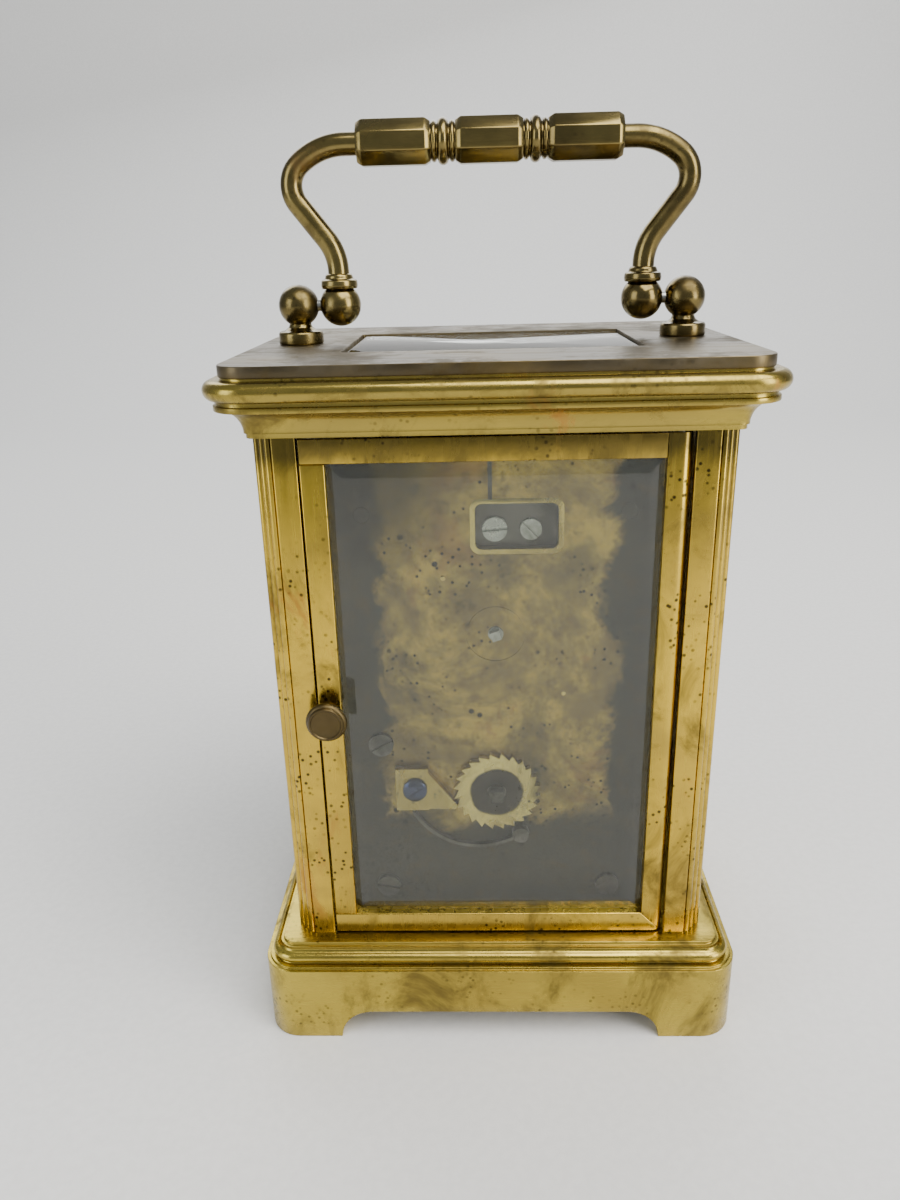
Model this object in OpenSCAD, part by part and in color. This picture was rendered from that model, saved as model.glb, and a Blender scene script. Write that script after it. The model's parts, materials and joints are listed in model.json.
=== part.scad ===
// Carriage clock: a glazed brass case on a moulded base, with a folding handle on the roof,
// a hinged rear door, and a going movement with a lever platform under the roof window.
// X runs across the clock, Y from the dial (-Y) to the rear door (+Y), Z up. The origin is
// at the middle of the underside. All sizes are in millimetres.

/* [Case] */
// Width over the base skirt
base_w = 80; // [76:1:110]
// Depth over the base skirt
base_d = 68; // [68:1:92]
// Height of the base, from the table to the glass
base_h = 17.5; // [16.5:0.5:24]
// Height of the pillars, from base to cornice
pillar_h = 85.5; // [85.5:0.5:120]
// Width and depth of a corner pillar
pillar_w = 6.67; // [5.6:0.1:8.4]
// Thickness of the side and front panes
pane_t = 2; // [1.4:0.1:2.6]
// Thickness of the base skirt wall
skirt_t = 3; // [2:0.1:4]
// Height of the cut-outs between the feet
foot_cut_h = 5.35; // [3:0.05:6.5]

/* [Roof] */
// Length of the window in the roof, across the clock
window_w = 45.4; // [36:0.2:46]
// Depth of the window in the roof
window_d = 31; // [24:0.5:33]
// Thickness of the roof plate
roof_t = 1.7; // [1.2:0.1:2.6]
// Thickness of the roof pane
roof_pane_t = 1.5; // [1.1:0.05:1.7]

/* [Handle] */
// Height of the handle's pivot above the roof
pivot_h = 5.95; // [4.5:0.05:8]
// Radius of the rod that the arms are bent from
rod_r = 1.7; // [1.1:0.05:1.8]
// Height of the grip's middle above the pivot
grip_h = 23.45; // [21:0.05:32]
// Width of the grip across its flats
grip_af = 6.5; // [5:0.1:7.5]
// Radius of the pins that the handle turns on
handle_pin_r = 0.9; // [0.6:0.05:1.2]

/* [Door] */
// Thickness of the door's bars
door_t = 3.2; // [2.6:0.1:3.2]
// Width of the door's stiles and rails
door_bar = 3.6; // [3:0.1:6]
// Gap between the door and the case
door_gap = 0.28; // [0.2:0.02:0.6]
// Radius of the door's hinge pins
door_pin_r = 0.75; // [0.5:0.05:0.9]
// Height of the door's knob above the table
knob_z = 59.8; // [45:0.1:80]

/* [Movement] */
// Width of the movement plates
plate_w = 50.8; // [46:0.2:51]
// Height of the movement plates
plate_h = 81; // [81:0.5:83]
// Thickness of the movement plates
plate_t = 1.8; // [1.4:0.1:2.2]
// Radius of a train arbor
arbor_r = 0.8; // [0.6:0.05:1]
// Radius of a train pivot
pivot_r = 0.35; // [0.25:0.05:0.5]

/* [Fits] */
// Running clearance of a pivot or pin in its hole, on the radius
run_c = 0.05; // [0.03:0.01:0.1]
// Clearance of a screw in its hole, on the radius
screw_c = 0.05; // [0.03:0.01:0.15]

/* [Hidden] */
$fn = 48;
eps = 0.01;

// Colours
brass = [0.72, 0.58, 0.26];
dull_brass = [0.52, 0.45, 0.24];
bronze = [0.36, 0.33, 0.24];
steel = [0.62, 0.64, 0.66];
blued = [0.16, 0.2, 0.34];
glass = [0.75, 0.85, 0.8, 0.35];
enamel = [0.95, 0.94, 0.9];

// Case: half sizes of the glazed body and the height of the cornice
step_x = 5.33;
step_y = 5.54;
body_x = base_w / 2 - step_x;
body_y = base_d / 2 - step_y;
case_top = base_h + pillar_h;
post_in_x = body_x - pillar_w;
post_in_y = body_y - pillar_w;
base_corner = 5.5;
floor_t = 4.5;
boss_z = 6;
pillar_cx = body_x - pillar_w / 2;
pillar_cy = body_y - pillar_w / 2;
case_screw_r = 1.25;
case_screw_depth = 7;

// Panes
pane_in = 1.9;
groove_d = 1;
groove_c = 0.1;
pane_bevel = 3;
pane_edge = 0.9;

// Cornice and roof, as heights above the pillars
cornice_in = 1.17;
ledge_z0 = 4.5;
slab_z = 8.5;
slab_r = 4.55;
cavity_x = body_x - 7.67;
cavity_y = body_y - 3.96;
window_ledge = 0.9;
roof_top = case_top + slab_z + roof_t;
roof_pane_slot = 0.75;

// Handle
post_x = body_x - 3.62;
arm_x = post_x - 6.8;
grip_x = arm_x - 4;
pivot_z = roof_top + pivot_h;
grip_z = pivot_z + grip_h;
ball_r = 3.25;
arm_ball_r = 3.3;
collar_r = 2.82;
collar_z = 2.4;
collar_h = 1.5;
collar_cone_h = 0.8;
collar_cone_r = 2.1;
pin_back = 1.9;
post_foot_r = 3.62;
post_foot_h = 1.5;
post_cone_r = 3.1;
post_cone_h = 0.5;
post_neck_r = 2.05;
stud_len = 6;
shoulder_r = 11;
elbow_r = 4.2;
shin_r = 8;
elbow_a = 50;
knee_a = 38;
tenon = 3;
grip_neck = 1.97;
knot_gap = 0.1;
knot_out = 0.04;
shoulder_c = [grip_x + grip_neck, grip_z - shoulder_r];
elbow_c = shoulder_c + (shoulder_r - elbow_r) * [cos(elbow_a), sin(elbow_a)];
elbow_end = elbow_c + elbow_r * [cos(knee_a), -sin(knee_a)];
shin_len = (elbow_end[0] - shin_r * (1 - cos(knee_a)) - arm_x) / sin(knee_a);
shin_end = elbow_end - shin_len * [sin(knee_a), cos(knee_a)];
shin_c = shin_end + shin_r * [cos(knee_a), -sin(knee_a)];

// Door
door_x = post_in_x - door_gap;
door_y0 = body_y - door_t;
door_z0 = base_h + door_gap;
door_z1 = case_top - door_gap;
light_x = door_x - door_bar;
light_z0 = door_z0 + door_bar;
light_z1 = door_z1 - door_bar;
hinge_r = 1.6;
hinge_x = -(door_x - hinge_r);
hinge_y = body_y - hinge_r;
door_pane_t = 1.8;
door_pane_y = body_y - 1.6;
door_groove = 0.9;
door_pin_out = 2.2;
door_pin_in = 6;
knob_x = door_x - door_bar / 2 + 0.2;
knob_shank_r = 0.9;
knob_shank_l = 2.4;
knob_collar_r = 1.8;
knob_stem_r = 1.3;
knob_head_r = 3.2;
knob_rim_r = 1;
knob_rim_y = 2.9;

// Movement: plates, stations of the train (x, z) and places along Y
back_y1 = 22;
back_y0 = back_y1 - plate_t;
front_y1 = -13;
front_y0 = front_y1 - plate_t;
plate_top = base_h + plate_h;
barrel_at = [0, base_h + 25];
inter_at = [-10.8, base_h + 42.4];
centre_at = [0, base_h + 53];
third_at = [8, base_h + 62.2];
contrate_at = [0, base_h + 69.7];
minute_at = [0, centre_at[1] - 8.4];
post_at = [[18.9, base_h + 33.7], [-18.9, base_h + 6], [18.9, base_h + 6],
    [-20, base_h + 72.5], [20, base_h + 72.5]];
post_r = 2;
post_screw_r = 0.9;
front_post_r = 1.2;
click_at = [13.55, base_h + 25.8];
nose_angle = 20;
aperture_x = [-9.6, 3];
aperture_z = [base_h + 66.8, base_h + 74];
cock_screw_at = [-5.5, base_h + 69.6];

// Teeth: module = twice the centre distance over the sum of the teeth
movement_screw_y = (front_y1 + back_y0) / 2;
movement_screw_r = 1;

function gap(a, b) = norm([b[0] - a[0], b[1] - a[1]]);
function dir(a, b) = atan2(a[1] - b[1], b[0] - a[0]);
function modulus(a, b, n1, n2) = 2 * gap(a, b) / (n1 + n2);
barrel_n = 76;
inter_p = 14;
inter_n = 60;
centre_p = 10;
centre_n = 64;
third_p = 8;
third_n = 60;
contrate_p = 8;
contrate_n = 60;
escape_p = 6;
escape_n = 15;
cannon_n = 12;
minute_n = 36;
minute_p = 10;
hour_n = 40;
m_barrel = modulus(barrel_at, inter_at, barrel_n, inter_p);
m_inter = modulus(inter_at, centre_at, inter_n, centre_p);
m_centre = modulus(centre_at, third_at, centre_n, third_p);
m_third = modulus(third_at, contrate_at, third_n, contrate_p);
m_cannon = modulus(centre_at, minute_at, cannon_n, minute_n);
m_hour = modulus(centre_at, minute_at, hour_n, minute_p);
m_crown = 0.28;
crown_r = m_crown * contrate_n / 2;
wheel_form = [0.9, 1.2, 0.42, 0.14];
leaf_form = [0.6, 1.3, 0.38, 0.18];

// Platform and escapement: axes along Y and heights above the platform
deck_t = 1.5;
deck_z = plate_top + deck_t;
deck_x = 13;
escape_y = -6.2;
lever_y = -0.6;
balance_y = 6.5;
ratchet_n = 24;
ratchet_r = 7.2;
ratchet_root = 6.3;
pivot_s = 0.22;
bridge_z = 2.2;
cock_z = 5.3;
crown_floor = -9.6;
crown_pitch = escape_y - m_crown * escape_p / 2;
cock_y0 = back_y0 - 1.8;
barrel_y = 2.5;
barrel_len = 16;
barrel_r = 15.6;
spring_c = [3.1, base_h + 26.4];
spring_r = 12;
spring_half_t = 0.28;
spring_foot_a = 126;
spring_end_a = 26;
spring_foot_at = spring_c + spring_r * [cos(spring_foot_a), -sin(spring_foot_a)];

// Motion work and dial
cannon_r = 1.25;
stud_r = 0.6;
dial_y0 = -21.2;
dial_y1 = -20.2;
foot_r = 0.8;
dial_feet = [[16, base_h + 31], [-16, base_h + 31], [0, base_h + 76]];

// ---- Shared shapes ----

// Stands its children on the point (x, z) at depth y, with their +Z along the clock's +Y.
module at_y(p, y) {
    translate([p[0], y, p[1]]) rotate([-90, 0, 0]) children();
}

// A round bar along Y between two depths.
module bar_y(p, y0, y1, r) {
    at_y(p, y0) cylinder(r = r, h = y1 - y0);
}

// A plate with square corners, centred on X, standing across Y.
module slab_y(w, z0, z1, y0, y1) {
    translate([-w / 2, y0, z0]) cube([w, y1 - y0, z1 - z0]);
}

module mirror_x() {
    children();
    mirror([1, 0, 0]) children();
}

module four_corners() {
    mirror_x() {
        children();
        mirror([0, 1, 0]) children();
    }
}

// A moulded block: the profile (radius, height) is turned round four corner centres and
// run straight between them.
module moulded(cx, cy) {
    four_corners() translate([cx, cy, 0]) rotate_extrude(angle = 90) children();
    mirror_x() translate([cx, cy, 0]) rotate([90, 0, 0]) linear_extrude(2 * cy) children();
    rotate([0, 0, 90]) mirror_x() translate([cy, cx, 0]) rotate([90, 0, 0])
        linear_extrude(2 * cx) children();
}

// A pane standing in the XZ plane with its outer face bevelled towards +Y.
module bevelled_pane(w, h, t) {
    intersection() {
        linear_extrude(h) polygon([[-w / 2, 0], [w / 2, 0], [w / 2, pane_edge],
            [w / 2 - pane_bevel, t], [-w / 2 + pane_bevel, t], [-w / 2, pane_edge]]);
        rotate([90, 0, 90]) translate([0, 0, -w / 2]) linear_extrude(w)
            polygon([[0, 0], [0, h], [pane_edge, h], [t, h - pane_bevel], [t, pane_bevel],
                [pane_edge, 0]]);
    }
}

// Gear outline. form = [tip height, root depth, half pitch width at the pitch circle, and
// at the tip], heights in modules and widths in pitches; a tooth points along `phase`.
module gear2d(n, m, form, phase) {
    r = n * m / 2;
    pitch = 360 / n;
    wp = form[2] * pitch / 2;
    wt = form[3] * pitch / 2;
    wr = min(0.49 * pitch, 1.12 * wp);
    root = r - form[1] * m;
    tip = r + form[0] * m;
    polygon([for (i = [0 : n - 1]) for (q = [[-wr, root], [-wp, r], [-wt, tip], [wt, tip],
        [wp, r], [wr, root]]) let (a = phase + i * pitch + q[0]) q[1] * [cos(a), sin(a)]]);
}

// Crossed-out wheel: a toothed rim, a hub and arms of even width.
module crossed2d(n, m, phase, rim, hub, arms, arm_w) {
    inner = n * m / 2 - wheel_form[1] * m - rim;
    difference() {
        gear2d(n, m, wheel_form, phase);
        difference() {
            circle(inner);
            circle(hub);
            for (i = [0 : arms - 1]) rotate(i * 360 / arms) translate([0, -arm_w / 2])
                square([inner + rim / 2, arm_w]);
        }
    }
}

// Cheese-head screw along -Z with its seat at z = 0 and a slot across the head.
module screw(r, len, head_r, head_h, slot_turn = 0) {
    slot = head_r / 4;
    translate([0, 0, -len]) cylinder(r = r, h = len);
    difference() {
        cylinder(r = head_r, h = head_h);
        rotate(slot_turn) translate([-2 * head_r, -slot / 2, head_h / 2])
            cube([4 * head_r, slot, head_h]);
    }
}

// Arbor along Y with a pivot at each end.
module arbor(p, y0, y1, pivot) {
    bar_y(p, y0, y1, arbor_r);
    bar_y(p, y0 - pivot, y1 + pivot, pivot_r);
}

// ---- Case ----

module base_profile() {
    square([base_corner, base_h - 3.5]);
    translate([0, base_h - 3.5]) square([4.9, 0.4]);
    translate([0, base_h - 3.1]) square([3.4, 1.9]);
    translate([3.35, base_h - 2.15]) circle(0.95);
    difference() {
        translate([0, base_h - 1.5]) square([3.4, 1]);
        translate([3.6, base_h - 0.8]) circle(0.75);
    }
    translate([0, base_h - 0.5]) square([2.35, 0.5]);
}

module base_hollow() {
    iw = base_w / 2 - skirt_t;
    id = base_d / 2 - skirt_t;
    r = base_corner - skirt_t;
    z = base_h - floor_t;
    difference() {
        translate([0, 0, -1]) linear_extrude(z + 1) union() {
            square([2 * (iw - r), 2 * id], center = true);
            square([2 * iw, 2 * (id - r)], center = true);
            four_corners() translate([iw - r, id - r]) circle(r);
        }
        four_corners() translate([pillar_cx, pillar_cy, boss_z]) cylinder(r = 4, h = z);
    }
}

// Stadium-shaped cut between two feet, through both walls it meets.
module foot_cut(half, depth) {
    rotate([90, 0, 0]) linear_extrude(2 * depth, center = true) intersection() {
        union() {
            square([2 * (half - foot_cut_h), 2 * foot_cut_h], center = true);
            for (s = [-1, 1]) translate([s * (half - foot_cut_h), 0]) circle(foot_cut_h);
        }
        translate([-half, -1]) square([2 * half, foot_cut_h + 1]);
    }
}

module base() {
    foot = 12.85;
    color(dull_brass) difference() {
        union() {
            moulded(base_w / 2 - base_corner, base_d / 2 - base_corner) base_profile();
            translate([-base_w / 2 + base_corner, -base_d / 2 + base_corner, 0])
                cube([base_w - 2 * base_corner, base_d - 2 * base_corner, base_h]);
        }
        base_hollow();
        foot_cut(base_w / 2 - foot, base_d);
        rotate(90) foot_cut(base_d / 2 - foot, base_w);
        four_corners() translate([pillar_cx, pillar_cy, -1])
            cylinder(r = case_screw_r + screw_c, h = base_h + 2);
        for (p = [post_at[1], post_at[2]]) translate([p[0], movement_screw_y, -1])
            cylinder(r = movement_screw_r + screw_c, h = base_h + 2);
        translate([hinge_x, hinge_y, base_h - door_pin_out - 0.3])
            cylinder(r = door_pin_r + run_c, h = door_pin_out + 1);
    }
}

module base_screws() {
    color(steel) four_corners() translate([pillar_cx, pillar_cy, boss_z]) rotate([180, 0, 0])
        screw(case_screw_r, base_h - boss_z + case_screw_depth - 0.5, 2.3, 1.6, 20);
}

module cornice_profile() {
    difference() {
        square([5.1, 4]);
        translate([5.1, 0.7]) circle(3.3);
        translate([1.5, -eps]) square([4, 0.7 + 2 * eps]);
    }
    translate([0, 4]) square([5.6, 0.8]);
    translate([0, 4.7]) square([5.2, 0.8]);
    translate([0, 5.4]) square([5.45, 2.8]);
    translate([5.45, 6.8]) circle(1.4);
    translate([0, 8.1]) square([4.3, 0.4]);
}

module cornice() {
    cx = body_x - cornice_in;
    cy = body_y - cornice_in;
    light_w = window_w - 2 * (roof_pane_slot + window_ledge);
    light_d = window_d - 2 * window_ledge;
    color(dull_brass) difference() {
        translate([0, 0, case_top]) {
            moulded(cx, cy) cornice_profile();
            translate([-cx, -cy, 0]) cube([2 * cx, 2 * cy, slab_z]);
        }
        translate([-cavity_x, -cavity_y, case_top - 1])
            cube([2 * cavity_x, 2 * cavity_y, ledge_z0 + 1]);
        translate([-light_w / 2, -light_d / 2, case_top]) cube([light_w, light_d, slab_z + 1]);
        four_corners() translate([pillar_cx, pillar_cy, case_top - 1]) {
            cylinder(r = case_screw_r + screw_c, h = slab_z + 2);
            translate([0, 0, 6]) cylinder(r = 2.5, h = slab_z);
        }
        mirror_x() translate([post_x, 0, case_top + slab_z - stud_len + roof_t - 0.3])
            cylinder(r = case_screw_r + screw_c, h = stud_len + 1);
        translate([hinge_x, hinge_y, case_top - 1])
            cylinder(r = door_pin_r + run_c, h = door_pin_out + 1.3);
    }
}

module cornice_screws() {
    color(steel) four_corners() translate([pillar_cx, pillar_cy, case_top + 5])
        screw(case_screw_r, 5 + case_screw_depth - 0.5, 2.3, 1.6, 35);
}

module roof_plate() {
    cx = body_x - cornice_in;
    cy = body_y - cornice_in;
    z = case_top + slab_z;
    color(dull_brass) difference() {
        translate([0, 0, z]) {
            four_corners() translate([cx, cy, 0]) cylinder(r = slab_r, h = roof_t);
            translate([-cx - slab_r, -cy, 0]) cube([2 * (cx + slab_r), 2 * cy, roof_t]);
            translate([-cx, -cy - slab_r, 0]) cube([2 * cx, 2 * (cy + slab_r), roof_t]);
        }
        translate([-window_w / 2, -window_d / 2, z - 1]) cube([window_w, window_d, roof_t + 2]);
        mirror_x() translate([post_x, 0, z - 1])
            cylinder(r = case_screw_r + screw_c, h = roof_t + 2);
    }
}

// The roof pane lies on the front and rear ledges, and leaves a slot open at each end.
module roof_glass() {
    w = window_w - 2 * roof_pane_slot;
    d = window_d - 2 * groove_c;
    color(glass) translate([-w / 2, -d / 2, case_top + slab_z]) cube([w, d, roof_pane_t]);
}

// Corner pillar in the +X +Y corner: a square bar with three reeds on its outer corner
// and a groove in each face that holds a pane.
module pillar2d(front) {
    c = 2.77;
    sink = 0.45;
    reed_in = 0.33;
    reed_r = 0.6;
    difference() {
        translate([post_in_x, post_in_y]) {
            polygon([[0, 0], [pillar_w, 0], [pillar_w, pillar_w - c],
                [pillar_w - sink, pillar_w - c - eps], [pillar_w - c - eps, pillar_w - sink],
                [pillar_w - c, pillar_w], [0, pillar_w]]);
            for (t = [1, 3, 5])
                translate([pillar_w - c * t / 6 - reed_in, pillar_w - c + c * t / 6 - reed_in])
                    circle(reed_r);
        }
        translate([body_x - pane_in - pane_t / 2 - groove_c / 2, post_in_y - 1])
            square([pane_t + groove_c, groove_d + 1]);
        if (front) translate([post_in_x - 1, body_y - pane_in - pane_t / 2 - groove_c / 2])
            square([groove_d + 1, pane_t + groove_c]);
    }
}

module pillar(sx, sy) {
    color(brass) mirror([sx < 0 ? 1 : 0, 0, 0]) mirror([0, sy < 0 ? 1 : 0, 0]) difference() {
        translate([0, 0, base_h]) linear_extrude(pillar_h) pillar2d(sy < 0);
        for (z = [base_h - 1, case_top - case_screw_depth])
            translate([pillar_cx, pillar_cy, z])
                cylinder(r = case_screw_r + screw_c, h = case_screw_depth + 1);
    }
}

module pillar_front_left() { pillar(-1, -1); }
module pillar_front_right() { pillar(1, -1); }
module pillar_rear_left() { pillar(-1, 1); }
module pillar_rear_right() { pillar(1, 1); }

module front_glass() {
    w = 2 * (post_in_x + groove_d - groove_c);
    color(glass) translate([0, -(body_y - pane_in - pane_t / 2), base_h]) rotate(180)
        bevelled_pane(w, pillar_h, pane_t);
}

module side_pane(s) {
    w = 2 * (post_in_y + groove_d - groove_c);
    color(glass) translate([s * (body_x - pane_in - pane_t / 2), 0, base_h]) rotate(-90 * s)
        bevelled_pane(w, pillar_h, pane_t);
}

module left_glass() { side_pane(-1); }
module right_glass() { side_pane(1); }

// ---- Handle ----

module handle_posts() {
    color(bronze) mirror_x() difference() {
        translate([post_x, 0, roof_top]) {
            cylinder(r = post_foot_r, h = post_foot_h);
            translate([0, 0, post_foot_h])
                cylinder(r1 = post_foot_r, r2 = post_cone_r, h = post_cone_h);
            cylinder(r = post_neck_r, h = pivot_h);
            translate([0, 0, pivot_h]) sphere(ball_r);
            translate([0, 0, -stud_len]) cylinder(r = case_screw_r, h = stud_len + 1);
        }
        translate([post_x - ball_r - 1, 0, pivot_z]) rotate([0, 90, 0])
            cylinder(r = handle_pin_r + run_c, h = ball_r + 3);
    }
}

// Point of a circle about c in the XZ plane.
function on_arc(c, r, a) = c + r * [cos(a), sin(a)];

// Part of the bent rod: an arc about c in the XZ plane, from angle a0 up to a1, held back
// at both ends for the knots.
module rod_arc(c, r, a0, a1) {
    back = knot_gap / r * 180 / PI;
    translate([c[0], 0, c[1]]) rotate([90, 0, 0]) rotate([0, 0, a0 + back])
        rotate_extrude(angle = a1 - a0 - 2 * back) translate([r, 0]) circle(rod_r);
}

// Straight rod in the XZ plane from p, `len` long, leaning `lean` degrees from +Z to +X.
module rod(p, len, lean) {
    translate([p[0], 0, p[1]]) rotate([0, lean, 0]) translate([0, 0, knot_gap])
        cylinder(r = rod_r, h = len - 2 * knot_gap);
}

// Ball, hardly thicker than the rod, that carries one length of it into the next.
module knot(p) {
    translate([p[0], 0, p[1]]) sphere(rod_r + knot_out);
}

// An arm leaves the grip, bends over the elbow, comes back in on the slant and stands
// on a ball with a collar.
module handle_arm() {
    shin_foot = [arm_x, shin_c[1]];
    difference() {
        union() {
            rod([grip_x - tenon, grip_z], grip_neck + tenon, 90);
            knot(on_arc(shoulder_c, shoulder_r, 90));
            rod_arc(shoulder_c, shoulder_r, elbow_a, 90);
            knot(on_arc(shoulder_c, shoulder_r, elbow_a));
            rod_arc(elbow_c, elbow_r, -knee_a, elbow_a);
            knot(elbow_end);
            rod(shin_end, shin_len, knee_a);
            knot(shin_end);
            rod_arc(shin_c, shin_r, 180 - knee_a, 180);
            knot(shin_foot);
            rod([arm_x, pivot_z], shin_foot[1] - pivot_z, 0);
            translate([arm_x, 0, pivot_z]) {
                sphere(arm_ball_r);
                translate([0, 0, collar_z]) cylinder(r = collar_r, h = collar_h);
                translate([0, 0, collar_z + collar_h])
                    cylinder(r1 = collar_r, r2 = collar_cone_r, h = collar_cone_h);
            }
        }
        translate([arm_x - pin_back, 0, pivot_z]) rotate([0, 90, 0])
            cylinder(r = handle_pin_r + screw_c, h = 2 * arm_ball_r);
    }
}

module handle_arm_left() { color(bronze) mirror([1, 0, 0]) handle_arm(); }
module handle_arm_right() { color(bronze) handle_arm(); }

// A length of octagonal bar along X with its ends turned down.
module grip_bar(x, len) {
    r = grip_af / 2;
    end_r = r - 0.25;
    edge = 0.75;
    tip = r / cos(22.5) + 0.2;
    translate([x, 0, grip_z]) rotate([0, 90, 0]) intersection() {
        rotate(22.5) cylinder(r = r / cos(22.5), h = len, $fn = 8);
        rotate_extrude() polygon([[0, 0], [end_r, 0], [tip, edge], [tip, len - edge],
            [end_r, len], [0, len]]);
    }
}

// A group of turned rings along X, 3.8 long.
module grip_rings(x) {
    r = grip_af / 2;
    translate([x, 0, grip_z]) rotate([0, 90, 0]) rotate_extrude() {
        translate([0, -eps]) square([r - 0.7, 3.8 + 2 * eps]);
        for (z = [0.5, 3.3]) translate([r - 0.7, z]) circle(0.38);
        translate([r - 0.75, 1.9]) circle(0.85);
    }
}

module handle_grip() {
    side = 11.3;
    rings = 3.8;
    mid = 2 * (grip_x - side - rings);
    color(bronze) difference() {
        union() {
            grip_bar(-grip_x, side);
            grip_rings(-grip_x + side);
            grip_bar(-mid / 2, mid);
            grip_rings(mid / 2);
            grip_bar(grip_x - side, side);
        }
        mirror_x() translate([grip_x - tenon - 0.2, 0, grip_z]) rotate([0, 90, 0])
            cylinder(r = rod_r + screw_c, h = tenon + 1);
    }
}

module handle_pins() {
    color(steel) mirror_x() translate([arm_x - 1.8, 0, pivot_z]) rotate([0, 90, 0])
        cylinder(r = handle_pin_r, h = post_x - arm_x + 3.6);
}

// ---- Door ----

// The door's outline in plan: a bar whose hinge edge is rounded about the hinge axis.
module door_plan(x0, x1) {
    chamfer = 0.35;
    if (x0 < hinge_x) {
        translate([hinge_x, hinge_y]) circle(hinge_r);
        translate([hinge_x, door_y0]) square([x1 - hinge_x, door_t]);
    } else {
        polygon([[x0, door_y0], [x1, door_y0], [x1, body_y - chamfer],
            [x1 - chamfer, body_y], [x0, body_y]]);
    }
}

// Groove for the door's pane, cut through all four bars.
module door_pane_groove() {
    translate([0, door_pane_y, (light_z0 + light_z1) / 2])
        cube([2 * (light_x + door_groove), door_pane_t + groove_c,
            light_z1 - light_z0 + 2 * door_groove], center = true);
}

module door_pin_holes() {
    for (z = [door_z0 - 1, door_z1 - door_pin_in]) translate([hinge_x, hinge_y, z])
        cylinder(r = door_pin_r + screw_c, h = door_pin_in + 1);
}

// The region on the rail's side of the mitre at the foot of the hinge stile.
module mitre() {
    rotate([90, 0, 0]) translate([0, 0, -body_y - 1]) linear_extrude(door_t + 2)
        polygon([[-door_x - 1, door_z0 - 1], [-light_x, light_z0],
            [-light_x, door_z0 - 1]]);
}

module door_hinge_stile() {
    color(brass) difference() {
        translate([0, 0, door_z0]) linear_extrude(door_z1 - door_z0)
            door_plan(-door_x, -light_x);
        door_pane_groove();
        door_pin_holes();
        mitre();
    }
}

module door_latch_stile() {
    color(brass) difference() {
        translate([0, 0, light_z0]) linear_extrude(light_z1 - light_z0)
            door_plan(light_x, door_x);
        door_pane_groove();
        translate([knob_x, body_y - knob_shank_l, knob_z]) rotate([-90, 0, 0])
            cylinder(r = knob_shank_r + screw_c, h = knob_shank_l + 1);
    }
}

module door_top_rail() {
    color(brass) difference() {
        translate([0, 0, light_z1]) linear_extrude(door_bar) door_plan(-light_x, door_x);
        door_pane_groove();
    }
}

module door_bottom_rail() {
    color(brass) difference() {
        union() {
            translate([0, 0, door_z0]) linear_extrude(door_bar)
                door_plan(-light_x, door_x);
            intersection() {
                translate([0, 0, door_z0]) linear_extrude(door_bar)
                    door_plan(-door_x, -light_x);
                mitre();
            }
        }
        door_pane_groove();
        door_pin_holes();
    }
}

module door_glass() {
    slack = 0.1;
    color(glass) translate([0, door_pane_y - door_pane_t / 2, light_z0 - door_groove + slack])
        bevelled_pane(2 * (light_x + door_groove - slack),
            light_z1 - light_z0 + 2 * (door_groove - slack), door_pane_t);
}

module door_knob() {
    color(dull_brass) translate([knob_x, body_y, knob_z]) rotate([-90, 0, 0])
        rotate_extrude() {
            translate([0, -knob_shank_l + 0.1]) square([knob_shank_r, knob_shank_l]);
            square([knob_collar_r, 0.5]);
            square([knob_stem_r, 3]);
            translate([0, knob_rim_y - knob_rim_r]) square([knob_head_r - 0.45, 2 * knob_rim_r + 0.2]);
            translate([knob_head_r - knob_rim_r, knob_rim_y]) circle(knob_rim_r);
            translate([0, knob_rim_y + knob_rim_r]) square([knob_head_r / 2, 0.55]);
        }
}

module door_hinge_pins() {
    color(steel) for (z = [base_h - door_pin_out, door_z1 - door_pin_in + 0.2])
        translate([hinge_x, hinge_y, z])
            cylinder(r = door_pin_r, h = door_pin_out + door_gap + door_pin_in - 0.2);
}

// ---- Movement frame ----

module plate_holes(y0, y1, list) {
    for (q = list) bar_y(q[0], y0, y1, q[1]);
}

module front_plate() {
    feet = [for (p = dial_feet) [p, foot_r + screw_c]];
    posts = [for (p = post_at) [p, front_post_r + screw_c]];
    color(brass) {
        difference() {
            slab_y(plate_w, base_h, plate_top, front_y0, front_y1);
            plate_holes(front_y0 - 1, front_y1 + 1, concat(feet, posts,
                [[centre_at, arbor_r + run_c], [barrel_at, 1.2 + run_c],
                [inter_at, pivot_r + run_c], [third_at, pivot_r + run_c],
                [contrate_at, pivot_r + run_c], [minute_at, stud_r]]));
            platform_screw_holes();
        }
        bar_y(minute_at, -18.6, front_y1, stud_r);
    }
}

module platform_screw_holes() {
    for (x = [-10.5, 10.5], y = [front_y0 + plate_t / 2, back_y1 - plate_t / 2])
        translate([x, y, plate_top - 4]) cylinder(r = 0.6 + screw_c, h = 8);
}

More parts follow.
